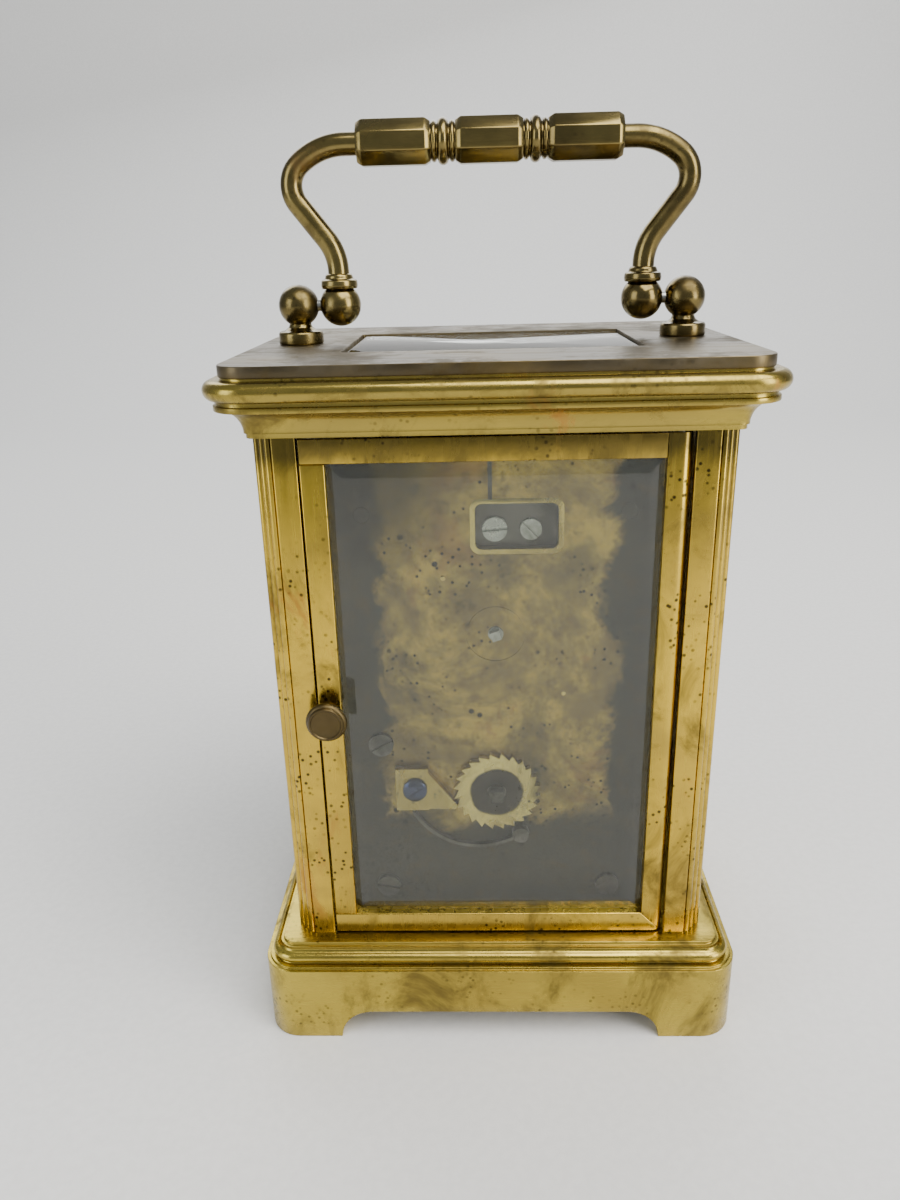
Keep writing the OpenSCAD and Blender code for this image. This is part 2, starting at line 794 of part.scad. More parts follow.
module back_plate() {
    riveted = [for (i = [3, 4]) [post_at[i], front_post_r + screw_c]];
    screwed = [for (i = [0 : 2]) [post_at[i], post_screw_r + screw_c]];
    ax = (aperture_x[0] + aperture_x[1]) / 2;
    az = (aperture_z[0] + aperture_z[1]) / 2;
    aw = aperture_x[1] - aperture_x[0];
    ah = aperture_z[1] - aperture_z[0];
    r = 1;
    color(brass) difference() {
        slab_y(plate_w, base_h, plate_top, back_y0, back_y1);
        plate_holes(back_y0 - 1, back_y1 + 1, concat(riveted, screwed,
            [[centre_at, 1.18 + run_c], [barrel_at, 2 + run_c],
            [inter_at, pivot_r + run_c], [third_at, pivot_r + run_c],
            [click_at, 0.9 + screw_c], [spring_foot_at, 0.7 + screw_c]]));
        at_y([ax, az], back_y0 - 1) linear_extrude(plate_t + 2) {
            square([aw - 2 * r, ah], center = true);
            square([aw, ah - 2 * r], center = true);
            for (sx = [-1, 1], sz = [-1, 1])
                translate([sx * (aw / 2 - r), sz * (ah / 2 - r)]) circle(r);
        }
        at_y(centre_at, back_y1 - 0.15) linear_extrude(1) difference() {
            circle(4.65);
            circle(4.5);
        }
        platform_screw_holes();
    }
}

module plate_posts_screw_hole(i) {
    bar_y(post_at[i], back_y0 - 4.5, back_y1, post_screw_r + screw_c);
}

module plate_pillars() {
    color(brass) difference() {
        union() {
            for (p = post_at) {
                bar_y(p, front_y1, back_y0, post_r);
                bar_y(p, front_y0, front_y1 + 1, front_post_r);
            }
            for (i = [3, 4]) bar_y(post_at[i], back_y0 - 1, back_y1, front_post_r);
        }
        for (i = [0 : 2]) plate_posts_screw_hole(i);
        for (i = [1, 2]) translate([post_at[i][0], movement_screw_y, post_at[i][1] - 3])
            cylinder(r = movement_screw_r + screw_c, h = 3.9);
    }
}

module pillar_screws() {
    color(steel) for (i = [0 : 2]) at_y(post_at[i], back_y1)
        screw(post_screw_r, 6, 2, 0.8, 70 * i + 30);
}

module movement_screws() {
    color(steel) for (i = [1, 2])
        translate([post_at[i][0], movement_screw_y, base_h - floor_t]) rotate([180, 0, 0])
            screw(movement_screw_r, floor_t + 6.8, 2, 1.4, 50 * i);
}

// ---- Dial and hands ----

module dial() {
    color(enamel) difference() {
        union() {
            slab_y(45, base_h + 18.5, base_h + 79, dial_y0, dial_y1);
            for (p = dial_feet) bar_y(p, dial_y1, front_y1, foot_r);
        }
        bar_y(centre_at, dial_y0 - 1, dial_y1 + 1, 2.3);
    }
}

// Places a flat shape on the dial's centre, turned clockwise by `turn` as the dial is read.
module on_dial(y1, t, turn) {
    translate([centre_at[0], y1, centre_at[1]]) rotate([0, turn, 0]) rotate([90, 0, 0])
        linear_extrude(t) children();
}

// A hand with an open moon near its tip.
module hand2d(len, w, moon, bore) {
    moon_at = len * 0.68;
    difference() {
        union() {
            circle(2.1);
            polygon([[-w / 2, -3.5], [w / 2, -3.5], [w / 2, moon_at - moon + 0.3],
                [-w / 2, moon_at - moon + 0.3]]);
            translate([0, moon_at]) circle(moon);
            polygon([[-w / 2, moon_at + moon - 0.3], [w / 2, moon_at + moon - 0.3],
                [0.12, len], [-0.12, len]]);
        }
        circle(bore);
        translate([0.15, moon_at + 0.2]) circle(moon * 0.62);
    }
}

module hour_hand() {
    color(blued) on_dial(-21.9, 0.4, 305) hand2d(12, 0.9, 1.6, 1.9 + screw_c / 2);
}

module minute_hand() {
    color(blued) on_dial(-23.0, 0.4, 60) hand2d(18, 0.8, 1.3, cannon_r + screw_c / 2);
}

module centre_arbor() {
    color(steel) {
        bar_y(centre_at, -24.4, back_y0 - 0.3, arbor_r);
        bar_y(centre_at, back_y0 - 0.35, back_y1 + 0.1, 1.18);
        at_y(centre_at, back_y1) rotate(20) translate([-0.75, -0.75, 0]) cube([1.5, 1.5, 1.2]);
    }
}

module cannon_pinion() {
    color(steel) at_y(centre_at, -23.9) difference() {
        union() {
            cylinder(r = cannon_r, h = 23.9 - 15.4);
            translate([0, 0, 23.9 - 16.8]) linear_extrude(1.4)
                gear2d(cannon_n, m_cannon, leaf_form, 90);
        }
        translate([0, 0, -1]) cylinder(r = arbor_r + screw_c / 2, h = 11);
    }
}

module minute_wheel() {
    color(brass) at_y(minute_at, -18.4) difference() {
        union() {
            linear_extrude(1.7) gear2d(minute_p, m_hour, leaf_form, 270);
            translate([0, 0, 1.6]) linear_extrude(1.1)
                crossed2d(minute_n, m_cannon, 270 + 180 / minute_n, 1.2, 2.2, 3, 1);
        }
        translate([0, 0, -1]) cylinder(r = stud_r + run_c, h = 5);
    }
}

module hour_wheel() {
    color(brass) at_y(centre_at, -22.4) difference() {
        union() {
            cylinder(r = 1.9, h = 5.1);
            translate([0, 0, 4.1]) linear_extrude(1)
                gear2d(hour_n, m_hour, wheel_form, 90 + 180 / hour_n);
        }
        translate([0, 0, -1]) cylinder(r = cannon_r + run_c, h = 8);
    }
}

// ---- Going train ----

module mainspring_barrel() {
    color(brass) at_y(barrel_at, barrel_y) difference() {
        union() {
            linear_extrude(1.8) gear2d(barrel_n, m_barrel, wheel_form,
                dir(barrel_at, inter_at));
            cylinder(r = barrel_r, h = barrel_len);
        }
        translate([0, 0, 1.8]) cylinder(r = barrel_r - 1.2, h = barrel_len);
        translate([0, 0, -1]) cylinder(r = 2 + run_c, h = barrel_len);
    }
}

module barrel_cover() {
    color(brass) at_y(barrel_at, barrel_y + barrel_len - 1.2) difference() {
        cylinder(r = barrel_r - 1.2 - screw_c, h = 1.2);
        translate([0, 0, -1]) cylinder(r = 2 + run_c, h = 4);
    }
}

// Flat spiral ribbon from radius r0 to r1.
module spiral2d(r0, r1, turns, t) {
    steps = 24 * turns;
    function at(i, off) = let (a = 360 * turns * i / steps, r = r0 + (r1 - r0) * i / steps
        + off) [r * cos(a), r * sin(a)];
    polygon(concat([for (i = [0 : steps]) at(i, -t / 2)],
        [for (i = [steps : -1 : 0]) at(i, t / 2)]));
}

module mainspring() {
    color(blued) at_y(barrel_at, barrel_y + 2.2) linear_extrude(barrel_len - 3.8)
        spiral2d(4, barrel_r - 1.7, 7, 0.45);
}

module winding_arbor() {
    color(steel) {
        bar_y(barrel_at, front_y0 + 0.1, front_y1 + 0.2, 1.2);
        bar_y(barrel_at, front_y1 + 0.15, back_y1 + 0.1, 2);
        bar_y(barrel_at, back_y1, back_y1 + 1.3, 1.5);
        at_y(barrel_at, back_y1 + 1.2) translate([-1.05, -1.05, 0]) cube([2.1, 2.1, 1.8]);
    }
}

module ratchet_wheel() {
    color(brass) at_y(barrel_at, back_y1 + 0.1) linear_extrude(1.15) difference() {
        rotate(nose_angle + 4) polygon([for (i = [0 : ratchet_n - 1], q = [0, 1])
            let (a = 360 / ratchet_n * (i + 0.12 * q), r = q == 0 ? ratchet_r : ratchet_root)
            r * [cos(a), sin(a)]]);
        circle(1.5 + screw_c);
    }
}

// The click turns on its screw, and its nose points into the ratchet teeth.
module click() {
    nose = barrel_at + 6.95 * [cos(nose_angle), -sin(nose_angle)] - click_at;
    color(brass) at_y(click_at, back_y1 + 0.1) linear_extrude(1.4) difference() {
        polygon([[nose[0], -nose[1]], [-2.2, -3.1], [-2.2, -3.8], [3.2, -3.8], [3.2, 4],
            [-2.2, 4], [-2.2, 3.7], [nose[0] + 0.5, -nose[1] + 0.7]]);
        circle(0.9 + run_c);
    }
}

module click_screw() {
    color(blued) at_y(click_at, back_y1 + 1.55) {
        translate([0, 0, -1.55 - plate_t]) cylinder(r = 0.9, h = 1.6 + plate_t);
        difference() {
            intersection() {
                cylinder(r = 2, h = 1.1);
                translate([0, 0, -2.4]) sphere(3.5);
            }
            rotate(35) translate([-3, -0.25, 0.6]) cube([6, 0.5, 2]);
        }
    }
}

module click_spring() {
    reach = 2 * spring_r;
    color(steel) {
        at_y(spring_c, back_y1 + 0.1) linear_extrude(1) intersection() {
            difference() {
                circle(spring_r + spring_half_t);
                circle(spring_r - spring_half_t);
            }
            polygon([[0, 0], reach * [cos(spring_foot_a), sin(spring_foot_a)], reach * [0, 1],
                reach * [cos(spring_end_a), sin(spring_end_a)]]);
        }
        bar_y(spring_foot_at, back_y1, back_y1 + 1.6, 1.4);
        bar_y(spring_foot_at, back_y0, back_y1 + 1, 0.7);
    }
}

// A train wheel's arbor between the plates, with its pivots short of their outer faces.
module train_arbor(p) {
    arbor(p, front_y1 + 0.2, back_y0 - 0.2, 0.2 + plate_t - 0.1);
}

module intermediate_wheel() {
    color(brass) {
        train_arbor(inter_at);
        at_y(inter_at, -0.6) linear_extrude(1.2)
            crossed2d(inter_n, m_inter, dir(inter_at, centre_at), 1.7, 2.6, 4, 1.5);
        at_y(inter_at, barrel_y - 0.5) linear_extrude(3)
            gear2d(inter_p, m_barrel, leaf_form, dir(inter_at, barrel_at) + 180 / inter_p);
    }
}

module centre_wheel() {
    color(brass) at_y(centre_at, -3.4) difference() {
        union() {
            cylinder(r = 1.45, h = 5);
            linear_extrude(1)
                crossed2d(centre_n, m_centre, dir(centre_at, third_at), 1.4, 2.2, 4, 1.2);
            translate([0, 0, 2]) linear_extrude(2.8) gear2d(centre_p, m_inter, leaf_form,
                dir(centre_at, inter_at) + 180 / centre_p);
        }
        translate([0, 0, -1]) cylinder(r = arbor_r + run_c, h = 8);
    }
}

module third_wheel() {
    color(brass) {
        train_arbor(third_at);
        at_y(third_at, -4.2) linear_extrude(2.6) gear2d(third_p, m_centre, leaf_form,
            dir(third_at, centre_at) + 180 / third_p);
        at_y(third_at, -6.6) linear_extrude(0.9)
            crossed2d(third_n, m_third, dir(third_at, contrate_at), 1.2, 2, 4, 1);
    }
}

module crown_tooth() {
    pitch = m_crown * PI;
    wp = wheel_form[2] * pitch / 2;
    wt = wheel_form[3] * pitch / 2;
    root = crown_pitch - crown_floor - wheel_form[1] * m_crown;
    translate([crown_r - 0.8, 0, 0]) rotate([90, 0, 90]) linear_extrude(1.3)
        polygon([[-1.12 * wp, root - 0.2], [-1.12 * wp, root], [-wp, crown_pitch - crown_floor],
            [-wt, crown_pitch - crown_floor + wheel_form[0] * m_crown],
            [wt, crown_pitch - crown_floor + wheel_form[0] * m_crown],
            [wp, crown_pitch - crown_floor], [1.12 * wp, root], [1.12 * wp, root - 0.2]]);
}

module contrate_wheel() {
    rim_in = crown_r - 0.8;
    rim_out = crown_r + 0.5;
    root = crown_pitch - crown_floor - wheel_form[1] * m_crown;
    color(brass) {
        bar_y(contrate_at, front_y1 + 0.2, cock_y0 - 0.2, arbor_r);
        bar_y(contrate_at, front_y0 + 0.1, cock_y0 + 0.8, pivot_r);
        at_y(contrate_at, crown_floor) {
            linear_extrude(0.8) difference() {
                circle(rim_out);
                difference() {
                    circle(rim_in);
                    circle(1.9);
                    for (a = [0, 90]) rotate(a) square([2 * rim_out, 1], center = true);
                }
            }
            linear_extrude(root) difference() {
                circle(rim_out);
                circle(rim_in);
            }
            for (i = [0 : contrate_n - 1]) rotate(i * 360 / contrate_n + 90) crown_tooth();
        }
        at_y(contrate_at, -6.75) linear_extrude(1.3) gear2d(contrate_p, m_third, leaf_form,
            dir(contrate_at, third_at) + 180 / contrate_p);
    }
}

module contrate_cock() {
    color(steel) difference() {
        translate([-12, cock_y0, contrate_at[1] - 4.9]) cube([17.4, back_y0 - cock_y0, 9.8]);
        bar_y(contrate_at, cock_y0 - 1, cock_y0 + 1, pivot_r + run_c);
        bar_y(contrate_at, cock_y0 + 1, back_y0 + 1, 0.8 + screw_c);
        bar_y(cock_screw_at, cock_y0 - 1, back_y0 + 1, 0.8 + screw_c);
    }
}

module contrate_cock_screws() {
    color(steel) {
        at_y(contrate_at, back_y0) screw(0.8, 0.7, 1.9, 0.9, 5);
        at_y(cock_screw_at, back_y0) screw(0.8, 1.7, 1.65, 0.8, -45);
    }
}

// ---- Platform escapement ----

module platform() {
    color(brass) difference() {
        union() {
            translate([-deck_x, front_y0, plate_top]) cube([2 * deck_x, back_y1 - front_y0,
                deck_t]);
            translate([-1.8, lever_y - 2.8, plate_top - 7.3]) cube([3.6, 1.6, 7.4]);
            translate([-1.8, escape_y - 1, plate_top - 7.3]) cube([3.6, 4.2, 1.2]);
        }
        platform_screw_holes();
        translate([0, escape_y, plate_top - 1]) cylinder(r = 1.25, h = 4);
        translate([0, escape_y, plate_top - 8]) cylinder(r = pivot_s + run_c, h = 3);
        for (y = [lever_y, balance_y]) translate([0, y, plate_top - 1])
            cylinder(r = pivot_s + run_c, h = 4);
        translate([-5.5, -4, deck_z - 1.2]) cylinder(r = 0.6 + screw_c, h = 3);
        translate([10.2, balance_y, deck_z - 1.2]) cylinder(r = 0.6 + screw_c, h = 3);
    }
}

module platform_screws() {
    color(steel) for (x = [-10.5, 10.5], y = [front_y0 + plate_t / 2, back_y1 - plate_t / 2])
        translate([x, y, deck_z]) screw(0.6, deck_t + 3.8, 1.2, 0.7, 3 * x);
}

module escape_wheel() {
    color(brass) translate([0, escape_y, 0]) {
        translate([0, 0, plate_top - 5.9]) cylinder(r = 0.5, h = 5.9 + deck_t + 2);
        translate([0, 0, plate_top - 7.1]) cylinder(r = pivot_s, h = 7.1 + deck_t + 2.8);
        translate([0, 0, plate_top - 4.6]) linear_extrude(2.6)
            gear2d(escape_p, m_crown, leaf_form, -90 + 180 / escape_p);
        translate([0, 0, deck_z + 1.2]) linear_extrude(0.4) difference() {
            polygon([for (i = [0 : escape_n - 1], q = [[0, 4], [2, 3.95], [7, 3.1], [20, 3]])
                let (a = 360 / escape_n * i + q[0]) q[1] * [cos(a), sin(a)]]);
            difference() {
                circle(2.4);
                circle(0.9);
                for (a = [0, 90]) rotate(a) square([6, 0.5], center = true);
            }
        }
    }
}

module escape_bridge() {
    z = deck_z + bridge_z;
    color(brass) difference() {
        union() {
            translate([-8, -6.6, deck_z]) cube([3.6, 5.2, bridge_z + 0.8]);
            for (y = [escape_y, lever_y]) translate([0, y, z]) cylinder(r = 0.95, h = 0.8);
            for (y = [escape_y, lever_y]) translate([0, 0, z]) linear_extrude(0.8)
                polygon([[-6, -4.9], [-6, -3.1], [0, y + 0.7], [0, y - 0.7]]);
        }
        for (y = [escape_y, lever_y]) translate([0, y, z - 1])
            cylinder(r = pivot_s + run_c, h = 3);
    }
}

module pallet_lever() {
    color(steel) {
        translate([0, lever_y, deck_z - 1.3]) cylinder(r = pivot_s, h = bridge_z + 2);
        translate([0, lever_y, deck_z + 0.1]) cylinder(r = 0.4, h = bridge_z - 0.2);
        translate([0, lever_y, deck_z + 1.2]) linear_extrude(0.4) {
            circle(0.8);
            translate([-0.25, 0]) square([0.5, 4.4]);
            for (s = [-1, 1]) {
                polygon([[s * 0.8, 4.2], [s * 0.8, 5.55], [s * 0.35, 5.55], [s * 0.35, 4.9],
                    [0, 4.6], [0, 4.2]]);
                polygon([[0, 0.5], [s * 3.1, -0.8], [s * 3.1, -1.15], [s * 2.5, -1.1], [0, -0.5]]);
            }
        }
    }
}

module balance_wheel() {
    screws = 12;
    color(brass) translate([0, balance_y, deck_z]) {
        translate([0, 0, -1.3]) cylinder(r = pivot_s, h = cock_z + 2);
        translate([0, 0, 0.2]) cylinder(r = 0.4, h = cock_z - 0.3);
        translate([0, 0, 1.9]) cylinder(r = 1.5, h = 0.35);
        translate([0, -1.1, 1.15]) cylinder(r = 0.18, h = 0.8);
        translate([0, 0, 3.4]) linear_extrude(0.7) {
            difference() {
                circle(6.4);
                circle(5.6);
            }
            square([12, 0.9], center = true);
            circle(1);
        }
        for (i = [0 : screws - 1]) rotate(30 * i + 15) translate([6.2, 0, 3.75])
            rotate([0, 90, 0]) cylinder(r = 0.3, h = 0.7);
    }
}

// Flat hairspring, with the stud at its outer end.
module hairspring() {
    color(blued) translate([0, balance_y, deck_z + 4.5]) {
        linear_extrude(0.3) spiral2d(0.9, 3.3, 6, 0.12);
        translate([3.3, 0, 0]) cylinder(r = 0.3, h = cock_z - 4.5);
    }
}

module balance_cock() {
    color(brass) difference() {
        union() {
            translate([8.4, balance_y - 2.6, deck_z]) cube([3.6, 5.2, cock_z + 0.9]);
            translate([0, balance_y, deck_z + cock_z]) linear_extrude(0.9) {
                polygon([[9, -2.4], [9, 2.4], [1, 1.9], [-0.5, 1.9], [-0.5, -1.9], [1, -1.9]]);
                circle(2);
            }
            translate([0, balance_y, deck_z + cock_z + 0.8]) cylinder(r = 1.2, h = 0.5);
        }
        translate([0, balance_y, deck_z + cock_z - 1]) cylinder(r = pivot_s + run_c, h = 1.7);
        translate([10.2, balance_y, deck_z - 1])
            cylinder(r = 0.6 + screw_c, h = cock_z + 3);
    }
}

// The index turns round the cock's boss; its tail runs to the rear and hangs down over the
// back plate.
module regulator_index() {
    z = cock_z + 0.95;
    tail = back_y1 + 0.8 - balance_y;
    drop = plate_top - 6.1;
    color(steel) translate([0, balance_y, 0]) rotate(-2.4) {
        translate([0, 0, deck_z + z]) linear_extrude(0.3) difference() {
            union() {
                circle(2);
                translate([-0.35, 0]) square([0.7, tail + 0.5]);
            }
            circle(1.2 + run_c);
        }
        translate([-0.3, tail, drop]) cube([0.6, 0.5, deck_z + z + 0.3 - drop]);
    }
}

base();
base_screws();
cornice();
cornice_screws();
roof_plate();
roof_glass();
pillar_front_left();
pillar_front_right();
pillar_rear_left();
pillar_rear_right();
front_glass();
left_glass();
right_glass();
handle_posts();
handle_arm_left();
handle_arm_right();
handle_grip();
handle_pins();
door_hinge_stile();
door_latch_stile();
door_top_rail();
door_bottom_rail();
door_glass();
door_knob();
door_hinge_pins();
front_plate();
back_plate();
plate_pillars();
pillar_screws();
movement_screws();
dial();
hour_hand();
minute_hand();
centre_arbor();
cannon_pinion();
minute_wheel();
hour_wheel();
mainspring_barrel();
barrel_cover();
mainspring();
winding_arbor();
ratchet_wheel();
click();
click_screw();
click_spring();
intermediate_wheel();
centre_wheel();
third_wheel();
contrate_wheel();
contrate_cock();
contrate_cock_screws();
platform();
platform_screws();
escape_wheel();
escape_bridge();
pallet_lever();
balance_wheel();
hairspring();
balance_cock();
regulator_index();
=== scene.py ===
"""A brass carriage clock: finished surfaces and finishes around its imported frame.

The file is laid out as an add-on: each piece or group of like pieces has an operator, and main() calls them in
order. Sizes that the frame holds are read from the frame; the rest are in the property groups, in metres.
"""

import json
import math

import bmesh
import bpy
import numpy as np
from bpy.props import FloatProperty, FloatVectorProperty, PointerProperty
from bpy.types import Operator, Panel, PropertyGroup
from mathutils import Matrix, Vector


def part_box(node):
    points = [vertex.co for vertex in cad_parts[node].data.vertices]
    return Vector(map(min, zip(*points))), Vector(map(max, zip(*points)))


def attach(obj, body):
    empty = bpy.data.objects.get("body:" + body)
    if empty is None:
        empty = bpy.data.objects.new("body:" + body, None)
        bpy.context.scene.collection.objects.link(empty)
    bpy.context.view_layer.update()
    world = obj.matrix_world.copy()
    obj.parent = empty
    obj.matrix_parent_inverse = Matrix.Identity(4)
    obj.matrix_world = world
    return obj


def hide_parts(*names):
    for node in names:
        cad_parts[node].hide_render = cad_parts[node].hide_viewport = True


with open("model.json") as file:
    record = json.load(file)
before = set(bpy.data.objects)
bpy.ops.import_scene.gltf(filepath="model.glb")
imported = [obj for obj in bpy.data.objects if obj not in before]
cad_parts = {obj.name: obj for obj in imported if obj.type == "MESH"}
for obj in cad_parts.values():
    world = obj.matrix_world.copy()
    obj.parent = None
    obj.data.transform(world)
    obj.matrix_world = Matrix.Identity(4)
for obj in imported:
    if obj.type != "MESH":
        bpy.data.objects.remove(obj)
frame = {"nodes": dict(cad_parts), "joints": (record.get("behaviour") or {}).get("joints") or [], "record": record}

bl_info = {
    "name": "Carriage clock",
    "version": (1, 0, 0),
    "blender": (4, 5, 0),
    "location": "View3D > Sidebar > Clock",
    "description": "Builds the finished surfaces of a brass carriage clock",
    "category": "Add Mesh",
}

MM = 0.001


# ---- Places read from the frame ----

def corners(node):
    """The lowest and highest corner of a node of the frame, as arrays."""
    low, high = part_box(node)
    return np.array(low), np.array(high)


BASE = corners("base")
CORNICE = corners("cornice")
ROOF = corners("roof_plate")
PILLAR = corners("pillar_rear_right")
HINGE_STILE = corners("door_hinge_stile")
LATCH_STILE = corners("door_latch_stile")
TOP_RAIL = corners("door_top_rail")
BOTTOM_RAIL = corners("door_bottom_rail")
KNOB = corners("door_knob")
POSTS = corners("handle_posts")
GRIP = corners("handle_grip")
BACK_PLATE = corners("back_plate")
DIAL = corners("dial")
JOINT_AT = {j["name"]: np.array(j["pos_m"]) for j in frame["joints"]}


# ---- Surfaces as arrays ----

def arc(centre, radius, start, stop, steps):
    """Points on a circle: centre plus radius times (cosine, sine) of evenly spaced angles, in degrees."""
    a = np.radians(np.linspace(start, stop, steps + 1))
    return np.array(centre) + radius * np.column_stack((np.cos(a), np.sin(a)))


def toward(degrees):
    """The unit vector (cosine, sine) of an angle."""
    a = np.radians(degrees)
    return np.array((np.cos(a), np.sin(a)))


def soften(outline, radius, steps=3, closed=True):
    """Rounds the corners of an outline: each corner becomes a quadratic curve that leaves its two sides `radius`
    before the corner, or at 0.45 of a side where the side is short."""
    p = np.asarray(outline, float)
    before, after = np.roll(p, 1, 0) - p, np.roll(p, -1, 0) - p
    lb = np.linalg.norm(before, axis=1, keepdims=True)
    la = np.linalg.norm(after, axis=1, keepdims=True)
    reach = np.minimum(radius, 0.45 * np.minimum(lb, la))
    start, stop = p + before / lb * reach, p + after / la * reach
    t = np.linspace(0, 1, steps + 1)[None, :, None]
    curve = (1 - t) ** 2 * start[:, None] + 2 * t * (1 - t) * p[:, None] + t**2 * stop[:, None]
    if not closed:
        return np.vstack((p[:1], curve[1:-1].reshape(-1, p.shape[1]), p[-1:]))
    return curve.reshape(-1, p.shape[1])


def corner_ring(half_x, half_y, radius, height, arc_steps=14, sides=(-1.0, 1.0)):
    """A level ring: a rectangle whose corners are quarter circles. `sides` are the places of the points along each
    straight side, from -1 to 1, or two such runs: for the sides along Y and those along X. Runs counterclockwise
    from the lower end of the +X side."""
    cx, cy = half_x - radius, half_y - radius
    places = sides if np.ndim(sides[0]) else (sides, sides)
    a = np.radians(np.linspace(0, 90, arc_steps + 1))[1:-1]
    turn = np.column_stack((np.cos(a), np.sin(a))) * radius
    runs = []
    for q, (ax, ay) in enumerate(((cx, cy), (cy, cx), (cx, cy), (cy, cx))):
        s = np.asarray(places[q % 2], float)
        side = np.column_stack((np.full(len(s), ax + radius), s * ay))
        quarter = np.vstack((side, turn + (ax, ay)))
        c, d = ((1, 0), (0, 1), (-1, 0), (0, -1))[q]
        runs.append(quarter @ np.array(((c, d), (-d, c))))
    flat = np.vstack(runs)
    return np.column_stack((flat, np.full(len(flat), height)))


def sweep(profile, half_x, half_y, radius):
    """Carries a profile of (outward step, height) round a rectangle with rounded corners: each point of the
    profile becomes a ring grown outwards by its step."""
    return np.stack([corner_ring(half_x + r, half_y + r, radius + r, z) for r, z in profile])


def lathe(profile, steps=48):
    """Turns a profile of (radius, height) about Z: x = r cos a, y = r sin a."""
    p = np.asarray(profile, float)
    a = np.linspace(0, 2 * np.pi, steps, endpoint=False)
    return np.stack((p[:, :1] * np.cos(a), p[:, :1] * np.sin(a), np.repeat(p[:, 1:], steps, 1)), -1)


def eased_ends(low, high, edge):
    """The inward steps and the heights of the eight rings that round both ends of a bar: edge times (1 - sine)
    inwards and edge times (1 - cosine) along, at 0, 30, 60 and 90 degrees."""
    a = np.radians((0, 30, 60, 90))
    inward, along = (1 - np.sin(a)) * edge, (1 - np.cos(a)) * edge
    return np.concatenate((inward, inward[::-1])), np.concatenate((low + along, high - along[::-1]))


def prism(outline, z0, z1, edge):
    """Raises a flat outline from z0 to z1 with both rims eased: each ring is the outline moved along its own
    inward normals."""
    p = np.asarray(outline, float)
    along = np.roll(p, -1, 0) - np.roll(p, 1, 0)
    normal = np.column_stack((along[:, 1], -along[:, 0]))
    normal /= np.linalg.norm(normal, axis=1, keepdims=True)
    inset, z = eased_ends(z0, z1, edge)
    flat = p[None] - normal[None] * inset[:, None, None]
    return np.concatenate((flat, np.broadcast_to(z[:, None, None], flat.shape[:2] + (1,))), -1)


def tube(path, radius, steps=24):
    """Carries a circle along a path in the XZ plane: each ring lies across the path's own direction there."""
    p = np.asarray(path, float)
    d = np.gradient(p, axis=0)
    d /= np.linalg.norm(d, axis=1, keepdims=True)
    side = np.column_stack((d[:, 1], -d[:, 0]))
    a = np.linspace(0, 2 * np.pi, steps, endpoint=False)
    x = p[:, :1] + radius * np.cos(a) * side[:, :1]
    z = p[:, 1:] + radius * np.cos(a) * side[:, 1:]
    return np.stack((x, np.broadcast_to(radius * np.sin(a), x.shape), z), -1)


def skin(points, ring_of_rings=False):
    """A grid of points whose rows are closed rings, as (vertices, faces): four-sided faces join each ring to the
    next, and a cap closes the first and last ring unless the rings themselves close."""
    n, m = points.shape[:2]
    i = np.arange(n if ring_of_rings else n - 1)[:, None]
    j = np.arange(m)[None]
    a, b = i * m + j, i * m + (j + 1) % m
    c, d = (i + 1) % n * m + (j + 1) % m, (i + 1) % n * m + j
    faces = np.stack((a, b, c, d), -1).reshape(-1, 4).tolist()
    if not ring_of_rings:
        faces += [list(range(m)), list(range((n - 1) * m, n * m))]
    return points.reshape(-1, 3), faces


def moved(shape, matrix):
    """The same shape with its vertices carried by a 4 by 4 matrix."""
    m = np.array(matrix)
    return shape[0] @ m[:3, :3].T + m[:3, 3], shape[1]


def mirrored(shape, axis=0):
    """The same shape reflected in the plane through the origin across one axis."""
    flip = np.ones(3)
    flip[axis] = -1
    return shape[0] * flip, shape[1]


def make(name, shapes, material, body="root", replaces=(), angle=28):
    """Puts shapes into one mesh object at the origin, turns its faces outwards, marks edges sharper than `angle`
    and hands it to the frame."""
    start, verts, faces = 0, [], []
    for points, own in shapes:
        verts.append(points)
        faces += [[k + start for k in f] for f in own]
        start += len(points)
    mesh = bpy.data.meshes.new(name)
    mesh.from_pydata(np.vstack(verts), [], faces)
    work = bmesh.new()
    work.from_mesh(mesh)
    bmesh.ops.remove_doubles(work, verts=work.verts, dist=1e-7)
    bmesh.ops.recalc_face_normals(work, faces=work.faces)
    work.to_mesh(mesh)
    work.free()
    mesh.shade_smooth()
    mesh.set_sharp_from_angle(angle=math.radians(angle))
    mesh.materials.append(material)
    piece = bpy.data.objects.new(name, mesh)
    bpy.context.scene.collection.objects.link(piece)
    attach(piece, body)
    if replaces:
        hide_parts(*replaces)
    return piece


# ---- Finishes ----

